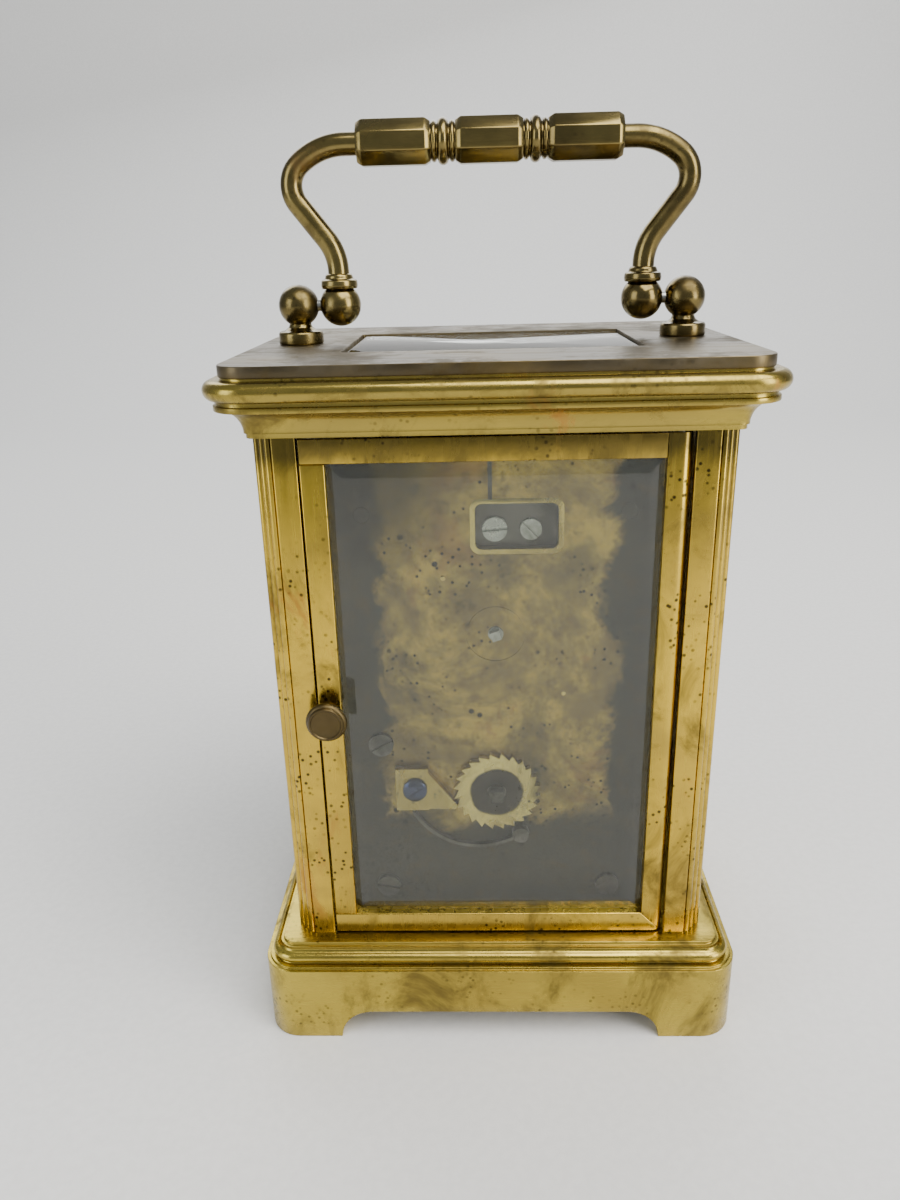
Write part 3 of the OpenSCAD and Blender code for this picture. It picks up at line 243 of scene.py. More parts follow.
class Nodes:
    """Short calls for the nodes of one material."""

    def __init__(self, name):
        self.material = bpy.data.materials.get(name) or bpy.data.materials.new(name)
        self.material.use_nodes = True
        self.tree = self.material.node_tree
        self.tree.nodes.clear()
        self.shader = self.add("ShaderNodeBsdfPrincipled")
        self.out = self.add("ShaderNodeOutputMaterial")
        self.link(self.shader.outputs["BSDF"], self.out.inputs["Surface"])
        self.place = self.add("ShaderNodeTexCoord").outputs["Object"]

    def add(self, kind, **settings):
        node = self.tree.nodes.new(kind)
        for key, value in settings.items():
            setattr(node, key, value)
        return node

    def link(self, a, b):
        self.tree.links.new(a, b)

    def put(self, node, name, value):
        if isinstance(value, bpy.types.NodeSocket):
            self.link(value, node.inputs[name])
        else:
            node.inputs[name].default_value = value

    def stretched(self, scale, shift=(0, 0, 0)):
        """The place on the piece, scaled along each axis and shifted."""
        node = self.add("ShaderNodeMapping")
        self.put(node, "Vector", self.place)
        self.put(node, "Scale", scale)
        self.put(node, "Location", shift)
        return node.outputs["Vector"]

    def shifted(self, *shift):
        """The place on the piece, shifted so that two patterns of one scale differ."""
        return self.stretched((1, 1, 1), shift)

    def noise(self, scale, detail=3, roughness=0.5, vector=None, distortion=0.0):
        node = self.add("ShaderNodeTexNoise")
        self.put(node, "Vector", vector or self.place)
        self.put(node, "Scale", scale)
        self.put(node, "Detail", detail)
        self.put(node, "Roughness", roughness)
        self.put(node, "Distortion", distortion)
        return node.outputs["Fac"]

    def cells(self, scale):
        node = self.add("ShaderNodeTexVoronoi")
        self.put(node, "Vector", self.place)
        self.put(node, "Scale", scale)
        return node.outputs["Distance"]

    def window(self, value, low, high, a=0.0, b=1.0):
        """Goes smoothly from a to b as the value goes from low to high."""
        node = self.add("ShaderNodeMapRange", interpolation_type="SMOOTHSTEP")
        self.put(node, "Value", value)
        for key, number in zip(("From Min", "From Max", "To Min", "To Max"), (low, high, a, b)):
            self.put(node, key, number)
        return node.outputs["Result"]

    def calc(self, op, a, b=0.0):
        node = self.add("ShaderNodeMath", operation=op)
        self.put(node, 0, a)
        self.put(node, 1, b)
        return node.outputs[0]

    def times(self, a, b):
        return self.calc("MULTIPLY", a, b)

    def plus(self, a, b):
        return self.calc("ADD", a, b)

    def larger(self, a, b):
        return self.calc("MAXIMUM", a, b)

    def mix(self, factor, a, b):
        node = self.add("ShaderNodeMix", data_type="RGBA")
        self.put(node, 0, factor)
        for key, value in ((6, a), (7, b)):
            self.put(node, key, value if isinstance(value, bpy.types.NodeSocket) else (*value, 1.0))
        return node.outputs[2]

    def axis(self, name):
        node = self.add("ShaderNodeSeparateXYZ")
        self.link(self.place, node.inputs[0])
        return node.outputs[name]

    def bump(self, height, strength, distance, under=None):
        node = self.add("ShaderNodeBump")
        self.put(node, "Height", height)
        self.put(node, "Strength", strength)
        self.put(node, "Distance", distance)
        if under:
            self.put(node, "Normal", under)
        return node.outputs["Normal"]


def old_brass(name, light, mid, dark, stain, wear=(0.40, 0.60), specks=0.5, dust=0.0, rough=(0.22, 0.5),
              grain=(400, 400, 40), grain_depth=0.12, painted_shade_heights=None, hub=None):
    """Aged brass. Broad noise mixes the bright and the dull colour, a second noise lays tarnish, small cells and a
    fine noise make dark specks, and a stretched noise makes the grain. Tarnish is rougher. Between two given
    heights the colour darkens upwards as painted shade under the cornice, and `hub` is the middle of a dark disc."""
    n = Nodes(name)
    broad = n.noise(38, 5, 0.6, distortion=0.4)
    body = n.mix(n.window(broad, wear[0], wear[1]), light, mid)
    blot = n.noise(85, 6, 0.68, n.stretched((1, 1, 0.7), shift=(3, 1, 7)), 0.6)
    tarnish = n.window(blot, 0.47, 0.69)
    body = n.mix(n.times(tarnish, 0.75), body, dark)
    rust = n.window(n.noise(60, 5, 0.7, n.stretched((1, 1, 0.5), shift=(9, 5, 2)), 0.8), 0.60, 0.74)
    body = n.mix(n.times(rust, 0.65), body, stain)
    # Painted shade: the colour darkens upwards towards the cornice, standing in for its shadow on the tops of the
    # door bars and pillars.
    if painted_shade_heights:
        ragged = 10 * MM
        reach = n.plus(n.axis("Z"), n.times(blot, ragged))
        low, high = (z + ragged / 2 for z in painted_shade_heights)
        body = n.mix(n.window(reach, low, high, 0, 0.85), body, (0.10, 0.075, 0.022))
    # A dark disc with a ragged edge round the given middle.
    if hub:
        off = n.stretched((1, 0, 1), shift=(-hub[0], 0, -hub[2]))
        away = n.add("ShaderNodeVectorMath", operation="LENGTH")
        n.link(off, away.inputs[0])
        spread = n.plus(away.outputs["Value"], n.times(blot, 0.002))
        body = n.mix(n.window(spread, 5.7 * MM, 5.2 * MM), body, dark)
    pit = n.window(n.cells(900), 0.34, 0.14)
    patch = n.window(n.noise(120, 3, 0.6, n.shifted(5, 8, 1)), 0.48, 0.62)
    speck = n.times(n.times(pit, patch), specks)
    body = n.mix(speck, body, (0.035, 0.026, 0.012))
    dull = n.larger(tarnish, n.times(rust, 0.8))
    roughness = n.window(n.plus(dull, n.times(broad, 0.4)), 0.1, 1.3, rough[0], rough[1])
    if dust:
        film = n.window(n.noise(55, 6, 0.7, n.shifted(2, 2, 4)), 0.30, 0.68)
        body = n.mix(n.times(film, dust), body, (0.105, 0.092, 0.07))
        roughness = n.larger(roughness, n.times(film, 0.75 * dust + 0.2))
    grit = n.noise(1, 4, 0.6, n.stretched(grain))
    fine = n.bump(grit, grain_depth, 0.00012)
    dents = n.bump(n.noise(260, 3, 0.5), 0.10, 0.0002, fine)
    n.put(n.shader, "Base Color", body)
    n.put(n.shader, "Roughness", n.plus(roughness, n.window(grit, 0.35, 0.7, -0.03, 0.06)))
    n.put(n.shader, "Metallic", 1.0)
    n.link(dents, n.shader.inputs["Normal"])
    return n.material


def clear_glass(name, tint, rough=0.004):
    """Plate glass with a faint film of dust and wiping marks that only roughens it. Light on its way to or from
    what lies behind goes straight through, so that the movement is lit."""
    n = Nodes(name)
    smear = n.noise(30, 4, 0.6, n.stretched((1, 1, 3)))
    n.put(n.shader, "Roughness", n.window(smear, 0.45, 0.75, rough, 3 * rough))
    n.put(n.shader, "Base Color", n.mix(n.window(smear, 0.4, 0.7), tint, tuple(0.96 * t for t in tint)))
    n.put(n.shader, "Transmission Weight", 1.0)
    n.put(n.shader, "IOR", 1.48)
    clear = n.add("ShaderNodeBsdfTransparent")
    clear.inputs["Color"].default_value = (*tint, 1)
    rays = n.add("ShaderNodeLightPath")
    blend = n.add("ShaderNodeMixShader")
    n.link(n.larger(rays.outputs["Is Shadow Ray"], rays.outputs["Is Diffuse Ray"]), blend.inputs[0])
    n.link(n.shader.outputs["BSDF"], blend.inputs[1])
    n.link(clear.outputs["BSDF"], blend.inputs[2])
    n.link(blend.outputs["Shader"], n.out.inputs["Surface"])
    return n.material


def grained_steel(name, light, dark, rough=(0.25, 0.42), grain=(60, 60, 900)):
    """Steel with a drawn grain and a thin patchy stain."""
    n = Nodes(name)
    lines = n.noise(1, 3, 0.6, n.stretched(grain))
    patch = n.noise(220, 4, 0.6, distortion=0.3)
    body = n.mix(n.window(patch, 0.42, 0.66), light, dark)
    n.put(n.shader, "Base Color", body)
    n.put(n.shader, "Roughness", n.window(patch, 0.3, 0.7, *rough))
    n.put(n.shader, "Metallic", 1.0)
    n.link(n.bump(lines, 0.2, 0.0001), n.shader.inputs["Normal"])
    return n.material


def enamel_white(name, light, dark):
    """Fired enamel: white with a slight unevenness in colour and surface."""
    n = Nodes(name)
    drift = n.noise(60, 3, 0.5)
    n.put(n.shader, "Base Color", n.mix(n.window(drift, 0.35, 0.7), light, dark))
    n.put(n.shader, "Roughness", n.window(drift, 0.3, 0.7, 0.10, 0.18))
    n.put(n.shader, "Coat Weight", 0.5)
    n.link(n.bump(drift, 0.05, 0.0002), n.shader.inputs["Normal"])
    return n.material


def black_enamel(name):
    """Painted black of dial figures, a little uneven."""
    n = Nodes(name)
    drift = n.noise(900, 2, 0.5)
    n.put(n.shader, "Base Color", n.mix(drift, (0.012, 0.012, 0.014), (0.03, 0.03, 0.032)))
    n.put(n.shader, "Roughness", n.window(drift, 0.3, 0.7, 0.25, 0.4))
    return n.material


def movement_plate(name, light, mid, dark):
    """Tarnished plate: warm brass, grey films, a painted dark reflection of the glass over the foot and both sides,
    dark patches and a darkening towards the top corner, orange halos and many small black spots."""
    n = Nodes(name)
    broad = n.noise(52, 9, 0.74, n.shifted(0.4, 0, 0.1), 0.5)
    body = n.mix(n.window(broad, 0.36, 0.60), light, mid)
    wander = n.times(n.noise(95, 5, 0.65, n.shifted(7, 2, 5), 0.5), 0.016)
    height = n.plus(n.axis("Z"), wander)
    # Painted reflection: towards the foot and at both sides the plate goes dark grey, standing in for the dark
    # reflection in the glass in front of it.
    foot = n.window(height, 49 * MM, 43 * MM)
    painted_reflection_sides = n.window(n.plus(n.calc("ABSOLUTE", n.axis("X")), wander), 24.5 * MM, 27.5 * MM)
    haze = n.window(n.noise(55, 5, 0.65, n.shifted(7, 2, 5), 0.5), 0.46, 0.68, 0, 0.7)
    # A random grey film on the plate together with the painted reflection at the foot and the sides.
    film = n.larger(haze, n.larger(foot, painted_reflection_sides))
    halo = n.window(n.noise(48, 4, 0.7, n.shifted(1, 6, 3), 1.2), 0.57, 0.68)
    body = n.mix(n.times(halo, 0.6), body, (0.24, 0.12, 0.04))
    # The colour of the grey film and of the painted dark reflection of the glass.
    body = n.mix(n.times(film, 0.95), body, (0.04, 0.038, 0.034))
    # Darker towards the top corner, with dark patches scattered over the plate.
    high = n.window(n.axis("Z"), 70 * MM, 98 * MM)
    left = n.window(n.axis("X"), -4 * MM, 20 * MM)
    dark_corner_and_patches = n.times(n.times(high, left), 1.2)
    scorch = n.window(n.noise(70, 5, 0.7, n.shifted(4, 4, 9)), 0.58, 0.72, 0, 0.7)
    dark_corner_and_patches = n.plus(dark_corner_and_patches, scorch)
    body = n.mix(n.window(dark_corner_and_patches, 0.1, 1.0, 0, 0.85), body, dark)
    mottle = n.window(n.noise(420, 6, 0.7, n.shifted(3, 9, 6)), 0.48, 0.70)
    body = n.mix(n.times(mottle, 0.6), body, (0.09, 0.062, 0.028))
    for size, edge, where in ((330, 0.20, (8, 8, 2)), (760, 0.26, (1, 3, 8))):
        spots = n.window(n.cells(size), edge, 0.5 * edge)
        gather = n.window(n.noise(90, 3, 0.6, n.shifted(*where)), 0.48, 0.58)
        body = n.mix(n.times(spots, gather), body, (0.02, 0.016, 0.012))
    n.put(n.shader, "Base Color", body)
    n.put(n.shader, "Roughness", n.window(n.plus(film, dark_corner_and_patches), 0.0, 1.2, 0.34, 0.62))
    n.put(n.shader, "Metallic", 1.0)
    grain = n.noise(1, 3, 0.6, n.stretched((900, 900, 60)))
    n.link(n.bump(grain, 0.12, 0.0001), n.shader.inputs["Normal"])
    return n.material


def studio_floor(name, light, dark):
    """Pale matt floor with a faint unevenness."""
    n = Nodes(name)
    weave = n.noise(600, 3, 0.6)
    n.put(n.shader, "Base Color", n.mix(n.window(weave, 0.3, 0.7), light, dark))
    n.put(n.shader, "Roughness", n.window(weave, 0.3, 0.7, 0.75, 0.9))
    return n.material


FINISH = {}


def finish(name):
    """The material of that name, made once by PaintFinishes."""
    return FINISH[name]


# ---- Settings that a user would change ----

class ClockSettings(PropertyGroup):
    """Sizes of the finished surfaces that the frame doesn't hold."""

    edge: FloatProperty(name="Edge", description="Rounding of worn brass edges", default=0.18 * MM, unit="LENGTH")
    bar_edge: FloatProperty(name="Bar edge", description="Rounding of the door's bars", default=0.22 * MM,
                            unit="LENGTH")
    pane_bevel: FloatProperty(name="Bevel", description="Width of the bevel on a pane", default=3 * MM,
                              unit="LENGTH")
    pane_edge: FloatProperty(name="Pane edge", description="Thickness of a pane at its rim", default=0.9 * MM,
                             unit="LENGTH")
    skirt_wall: FloatProperty(name="Skirt wall", description="Thickness of the base's skirt", default=3 * MM,
                              unit="LENGTH")
    foot: FloatProperty(name="Foot", description="Length of a bracket foot along a side", default=12.85 * MM,
                        unit="LENGTH")
    foot_cut: FloatProperty(name="Foot cut", description="Height of the cut between the feet", default=5.35 * MM,
                            unit="LENGTH")
    rod: FloatProperty(name="Rod", description="Radius of the handle's rod", default=1.7 * MM, unit="LENGTH")


class ClockColours(PropertyGroup):
    """Colours of the finishes."""

    bright: FloatVectorProperty(name="Bright brass", description="Brass where it is kept clean", subtype="COLOR",
                                default=(0.60, 0.41, 0.05))
    olive: FloatVectorProperty(name="Olive brass", description="Brass that has dulled", subtype="COLOR",
                               default=(0.32, 0.24, 0.055))
    umber: FloatVectorProperty(name="Umber", description="Brass under old tarnish", subtype="COLOR",
                               default=(0.085, 0.06, 0.02))
    copper: FloatVectorProperty(name="Copper", description="Orange stain where zinc has gone", subtype="COLOR",
                                default=(0.42, 0.17, 0.035))
    floor: FloatVectorProperty(name="Floor", description="Pale studio floor", subtype="COLOR",
                               default=(0.74, 0.73, 0.71))


def settings():
    return bpy.context.scene.clock_settings


def colours():
    return bpy.context.scene.clock_colours


# ---- Shapes shared by several pieces ----

def rounded(half_u, half_v, edge, steps=4):
    """Rounded rectangles, one for each entry of the arrays: the corner centres at (half - edge), plus edge times
    the unit circle's quarter for that corner."""
    quarter = np.linspace(0, 90, steps + 1)
    a = np.radians(np.concatenate([quarter + 90 * q for q in range(4)]))
    sign = np.repeat(np.array(((1, 1), (-1, 1), (-1, -1), (1, -1))), steps + 1, 0)
    half = np.stack(np.broadcast_arrays(np.asarray(half_u, float), np.asarray(half_v, float)), -1)
    e = np.broadcast_to(np.asarray(edge, float), half.shape[:-1])[..., None, None]
    return sign * (half[..., None, :] - e) + np.column_stack((np.cos(a), np.sin(a))) * e


def rounded_box(low, high, edge, axis=2):
    """A box with every edge rounded by `edge`: a stack of rounded rectangles along one axis, with eased ends."""
    order = [k for k in range(3) if k != axis] + [axis]
    lo, hi = np.array(low)[order], np.array(high)[order]
    half, centre = (hi - lo) / 2, (hi + lo) / 2
    inset, level = eased_ends(-half[2], half[2], edge)
    flat = rounded(half[0] - inset, half[1] - inset, edge) + centre[:2]
    out = np.empty(flat.shape[:2] + (3,))
    out[..., order[0]], out[..., order[1]] = flat[..., 0], flat[..., 1]
    out[..., axis] = level[:, None] + centre[2]
    return skin(out)


def bevelled_pane(node, outward, bevel, thin):
    """A pane as three level rings through its thickness: the full outline at the inner face, the full outline at
    `thin` above it, and the outline less the bevel at the outer face."""
    low, high = corners(node)
    axis = 1 if abs(outward[1]) > 0.5 else 0
    order = [1 - axis, 2, axis]
    half, centre = ((high - low) / 2)[order], ((high + low) / 2)[order]
    sense = outward[axis]
    inset = np.array((0.12 * MM, 0, 0, bevel, bevel + 0.15 * MM))
    level = np.array((0, 0.12 * MM, thin, 2 * half[2] - 0.01 * MM, 2 * half[2])) - half[2]
    flat = rounded(half[0] - inset, half[1] - inset, 0.1 * MM, 2) + centre[:2]
    out = np.empty(flat.shape[:2] + (3,))
    out[..., order[0]], out[..., 2] = flat[..., 0], flat[..., 1]
    out[..., axis] = (sense * level)[:, None] + centre[2]
    return skin(out)


def along_y(shape, x, y, z):
    """Lays a shape made along +Z so that it points along +Y from (x, y, z)."""
    return moved(shape, Matrix.Translation((x, y, z)) @ Matrix.Rotation(-math.pi / 2, 4, "X"))


def along_x(shape, x):
    """Lays a shape made along +Z so that it points along +X from (x, 0, 0)."""
    return moved(shape, Matrix.Translation((x, 0, 0)) @ Matrix.Rotation(math.pi / 2, 4, "Y"))


def standing(shape, x, y, z):
    """Stands a shape made round the Z axis on a point."""
    return moved(shape, Matrix.Translation((x, y, z)))


# ---- Operators: one for each piece or group of like pieces ----

class PaintFinishes(Operator):
    """Makes every material and puts the frame's own nodes in theirs"""

    bl_idname = "clock.paint_finishes"
    bl_label = "Finishes"

    def execute(self, context):
        c = colours()
        bright, olive, umber, copper = (tuple(v) for v in (c.bright, c.olive, c.umber, c.copper))
        FINISH.update({
            # The case's brass darkens upwards near its top: painted shade under the cornice.
            "case": old_brass("case_brass_aged", bright, (0.42, 0.29, 0.05), umber, copper, specks=0.95,
                              rough=(0.24, 0.5), grain=(700, 700, 50), painted_shade_heights=(0.0965, 0.1005)),
            "cornice": old_brass("cornice_brass_aged", (0.38, 0.285, 0.055), olive, umber, copper,
                                 wear=(0.36, 0.58), rough=(0.22, 0.46), grain=(60, 700, 700)),
            "roof": old_brass("roof_brass_dusty", (0.15, 0.11, 0.045), (0.09, 0.068, 0.035), umber,
                              (0.14, 0.07, 0.035), dust=0.7, rough=(0.34, 0.6), grain=(60, 600, 600)),
            "base": old_brass("base_brass_brushed", (0.46, 0.35, 0.06), (0.36, 0.265, 0.05), umber, copper,
                              specks=0.6, rough=(0.26, 0.5), grain=(40, 900, 900), grain_depth=0.3),
            "handle": old_brass("handle_brass_dark", (0.21, 0.16, 0.055), (0.13, 0.097, 0.036),
                                (0.04, 0.028, 0.012), (0.15, 0.08, 0.03), wear=(0.42, 0.62), rough=(0.2, 0.4),
                                grain=(90, 500, 500)),
            "knob": old_brass("knob_brass_dull", (0.12, 0.09, 0.04), (0.075, 0.054, 0.025), umber,
                              (0.15, 0.075, 0.03), rough=(0.36, 0.55)),
            "plate": movement_plate("plate_brass_tarnished", (0.46, 0.32, 0.065), (0.17, 0.122, 0.045),
                                    (0.022, 0.017, 0.011)),
            "wheel": old_brass("wheel_brass_cut", (0.66, 0.50, 0.16), (0.50, 0.36, 0.10), (0.2, 0.14, 0.05),
                               copper, specks=0.2, rough=(0.18, 0.34)),
            "bright": old_brass("ratchet_brass_rubbed", (0.62, 0.49, 0.15), (0.36, 0.27, 0.08), umber, copper,
                                wear=(0.44, 0.60), specks=0.8, rough=(0.2, 0.4)),
            "ratchet": old_brass("ratchet_brass_dark_hub", (0.66, 0.53, 0.18), (0.30, 0.22, 0.07),
                                 (0.035, 0.028, 0.02), copper, specks=0.9, rough=(0.2, 0.45),
                                 hub=tuple(JOINT_AT["winding_turn"])),
            "grey": grained_steel("steel_dull", (0.11, 0.10, 0.09), (0.055, 0.048, 0.042), (0.35, 0.5)),
            "steel": grained_steel("steel_grained", (0.36, 0.36, 0.34), (0.16, 0.15, 0.13)),
            "blued": grained_steel("steel_blued", (0.045, 0.055, 0.12), (0.025, 0.028, 0.055), (0.18, 0.3)),
            "glass": clear_glass("glass_plate", (0.955, 0.98, 0.96)),
            "old_glass": clear_glass("glass_hazed", (0.80, 0.84, 0.77), 0.006),
            "enamel": enamel_white("enamel_dial", (0.86, 0.85, 0.80), (0.80, 0.79, 0.73)),
            "figures": black_enamel("dial_figures_black"),
            "floor": studio_floor("floor_pale", tuple(c.floor), tuple(0.95 * v for v in c.floor)),
        })
        by_slot = {"case_brass": "case", "dull_brass": "base", "glass": "glass", "handle_bronze": "handle",
                   "knob_brass": "knob", "steel": "steel", "blued_steel": "blued", "plate_brass": "plate",
                   "wheel_brass": "wheel", "enamel": "enamel"}
        by_node = {"regulator_index": "grey", "pillar_screws": "grey", "winding_arbor": "grey",
                   "click_spring": "grey", "contrate_cock": "grey", "ratchet_wheel": "ratchet", "click": "bright"}
        for part in frame["record"]["subparts"]:
            node = frame["nodes"][part["node"]]
            node.data.materials.clear()
            kind = by_node.get(part["node"], by_slot[part["material_slot"]])
            node.data.materials.append(finish(kind))
        return {"FINISHED"}


class BuildBase(Operator):
    """Builds the moulded base on its four bracket feet"""

    bl_idname = "clock.build_base"
    bl_label = "Base"

    def execute(self, context):
        s = settings()
        half_x, half_y, top = BASE[1]
        corner = 5.5 * MM
        above_feet = 7 * MM
        wall = s.skirt_wall
        cut = s.foot_cut
        reach_x, reach_y = half_x - s.foot - cut, half_y - s.foot - cut
        angle = np.radians(np.linspace(0, 90, 9))
        runs = []
        for half, reach in ((half_y, reach_y), (half_x, reach_x)):
            place = np.concatenate(((0.0,), reach + cut * np.sin(angle), (half - corner,))) / (half - corner)
            runs.append(np.concatenate((-place[:0:-1], place)))

        def ring(step, z):
            return corner_ring(half_x + step, half_y + step, corner + step, z, 12, runs)

        plain = ring(0, 0.0)
        on_y = np.isclose(np.abs(plain[:, 1]), half_y)
        on_x = np.isclose(np.abs(plain[:, 0]), half_x)
        past = np.where(on_y, np.abs(plain[:, 0]) - reach_x,
                        np.where(on_x, np.abs(plain[:, 1]) - reach_y, cut))
        lift = np.sqrt(np.clip(cut**2 - np.clip(past, 0, None) ** 2, 0, None))

        def footed(step, z):
            points = ring(step, z)
            points[:, 2] += lift
            return points

        e = s.edge
        skirt_top = top - 3.5 * MM
        upper = [(0, skirt_top), (-0.6 * MM, skirt_top), (-0.6 * MM, skirt_top + 0.4 * MM),
                 (-1.6 * MM, skirt_top + 0.4 * MM)]
        ovolo = arc((-2.15 * MM, top - 2.15 * MM), 0.95 * MM, -60, 80, 8)
        cove = arc((-1.9 * MM, top - 0.8 * MM), 0.75 * MM, 262, 170, 6)
        crown = [(-3.15 * MM, top - 0.5 * MM), (-3.15 * MM, top)]
        profile = np.vstack((soften([(0, above_feet + MM)] + upper, 0.16 * MM, 3, closed=False), ovolo, cove,
                             soften([(-2.65 * MM, top - 0.55 * MM)] + crown + [(-5.2 * MM, top)],
                                    0.15 * MM, 3, closed=False)))
        ceiling = top - 4.5 * MM
        rings = [ring(-wall, ceiling), ring(-wall, above_feet), footed(-wall, e), footed(-wall + e, 0),
                 footed(-e, 0), footed(-0.3 * e, 0.3 * e), footed(0, e), ring(0, above_feet)]
        rings += [ring(step, z) for step, z in profile]
        boss_r, hole_r, boss_h, boss_z = 3.9 * MM, 2.35 * MM, 7.1 * MM, 6 * MM
        wall_line = ((boss_r, boss_h), (boss_r, 0), (hole_r, 0), (hole_r, boss_h))
        boss = skin(lathe(soften(wall_line, 0.2 * MM, 2)), ring_of_rings=True)
        cx, cy = (PILLAR[0][:2] + PILLAR[1][:2]) / 2
        bosses = [standing(boss, a * cx, b * cy, boss_z) for a in (1, -1) for b in (1, -1)]
        make("base_casting", [skin(np.stack(rings))] + bosses, finish("base"),
             replaces=("base",))
        return {"FINISHED"}


class BuildCornice(Operator):
    """Builds the cornice with its cove, fillet and torus, and the ledge that holds the roof pane"""

    bl_idname = "clock.build_cornice"
    bl_label = "Cornice"

    def execute(self, context):
        z0 = CORNICE[0][2]
        height, ledge = 8.5, 4.5
        torus_out, torus_r = 5.45, 1.4
        cx, cy = CORNICE[1][:2] - (torus_out + torus_r) * MM
        foot = ((1.5, 0), (1.5, 0.7), (1.82, 0.7))
        cove = arc((5.1, 0.7), 3.3, 176, 94, 10)
        fillet = ((5.1, 4.0), (5.6, 4.0), (5.6, 4.8), (5.2, 4.8), (5.2, 5.4))
        torus = arc((torus_out, 6.8), torus_r, -82, 82, 14)
        top = ((5.3, 8.2), (4.3, 8.2), (4.3, height))
        profile = np.vstack((soften(foot, 0.14, 3, closed=False), cove, soften(fillet, 0.14, 3, closed=False),
                             torus, soften(top, 0.12, 2, closed=False))) * MM
        outer = sweep(profile + (0, z0), cx, cy, 0)
        light = corners("roof_glass")[1][:2] - (0.9 * MM, 0.8 * MM)
        well = (27 * MM, 24.5 * MM)
        steps = ((*light, height), (*light, ledge), (*well, ledge), (*well, 0))
        inner = np.stack([corner_ring(x, y, 0.5 * MM, z0 + z * MM) for x, y, z in steps])
        make("cornice_moulding", [skin(np.concatenate((outer, inner)), ring_of_rings=True)], finish("cornice"),
             replaces=("cornice",))
        return {"FINISHED"}


class BuildRoof(Operator):
    """Builds the roof plate with its window, and the roof pane"""

    bl_idname = "clock.build_roof"
    bl_label = "Roof plate and pane"

    def execute(self, context):
        low, high = ROOF
        lap = 2 * MM
        window = (22.7 * MM, 15.5 * MM)
        rim = ((-lap, low[2]), (0, low[2]), (0, high[2]), (-lap, high[2]))
        outer = sweep(soften(rim, 0.25 * MM, 3, closed=False), high[0], high[1], 4.55 * MM)
        rim = ((lap, high[2]), (0, high[2]), (0, low[2]), (lap, low[2]))
        hole = sweep(soften(rim, 0.2 * MM, 2, closed=False), *window, 0.4 * MM)
        make("roof_slab", [skin(np.concatenate((outer, hole)), ring_of_rings=True)], finish("roof"),
             replaces=("roof_plate",))
        low, high = corners("roof_glass")
        make("roof_pane", [rounded_box(low, high, 0.2 * MM)], finish("glass"),
             replaces=("roof_glass",))
        return {"FINISHED"}


class BuildPillars(Operator):
    """Builds the four reeded corner pillars"""

    bl_idname = "clock.build_pillars"
    bl_label = "Pillars"

    def execute(self, context):
        low, high = PILLAR
        w = high[0] - low[0]
        c, sink, reed_r = 2.77 * MM, 0.33 * MM, 0.61 * MM
        reeds = [arc((w - c * t / 6 - sink, w - c + c * t / 6 - sink), reed_r, -30, 120, 9) for t in (1, 3, 5)]
        r, land, lip = 0.2 * MM, 0.45 * MM, 0.25 * MM
        flat_a = soften(((w / 2, 0), (w, 0), (w, w - c - land), (w - land, w - c - lip)), r, 3, closed=False)
        flat_b = soften(((w - c - lip, w - land), (w - c - land, w), (0, w), (0, 0), (w / 2 - 0.1 * MM, 0)),
                        r, 3, closed=False)
        outline = np.vstack([flat_a] + reeds + [flat_b]) + low[:2]
        bar = skin(prism(outline, low[2], high[2], 0.06 * MM))
        for name, sx, sy in (("rear_right", 1, 1), ("rear_left", -1, 1), ("front_right", 1, -1),
                             ("front_left", -1, -1)):
            shape = bar if sx > 0 else mirrored(bar, 0)
            shape = shape if sy > 0 else mirrored(shape, 1)
            make("pillar_" + name + "_bar", [shape], finish("case"),
                 replaces=("pillar_" + name,), angle=40)
        return {"FINISHED"}


class BuildPanes(Operator):
    """Builds the bevelled panes of the front, the sides and the door"""

    bl_idname = "clock.build_panes"
    bl_label = "Panes"

    def execute(self, context):
        s = settings()
        for node, outward, body in (("front_glass", (0, -1, 0), "root"), ("left_glass", (-1, 0, 0), "root"),
                                    ("right_glass", (1, 0, 0), "root"), ("door_glass", (0, 1, 0), "door")):
            make(node.replace("glass", "pane"), [bevelled_pane(node, outward, s.pane_bevel, s.pane_edge)],
                 finish("old_glass" if body == "door" else "glass"), body, (node,), angle=3)
        return {"FINISHED"}


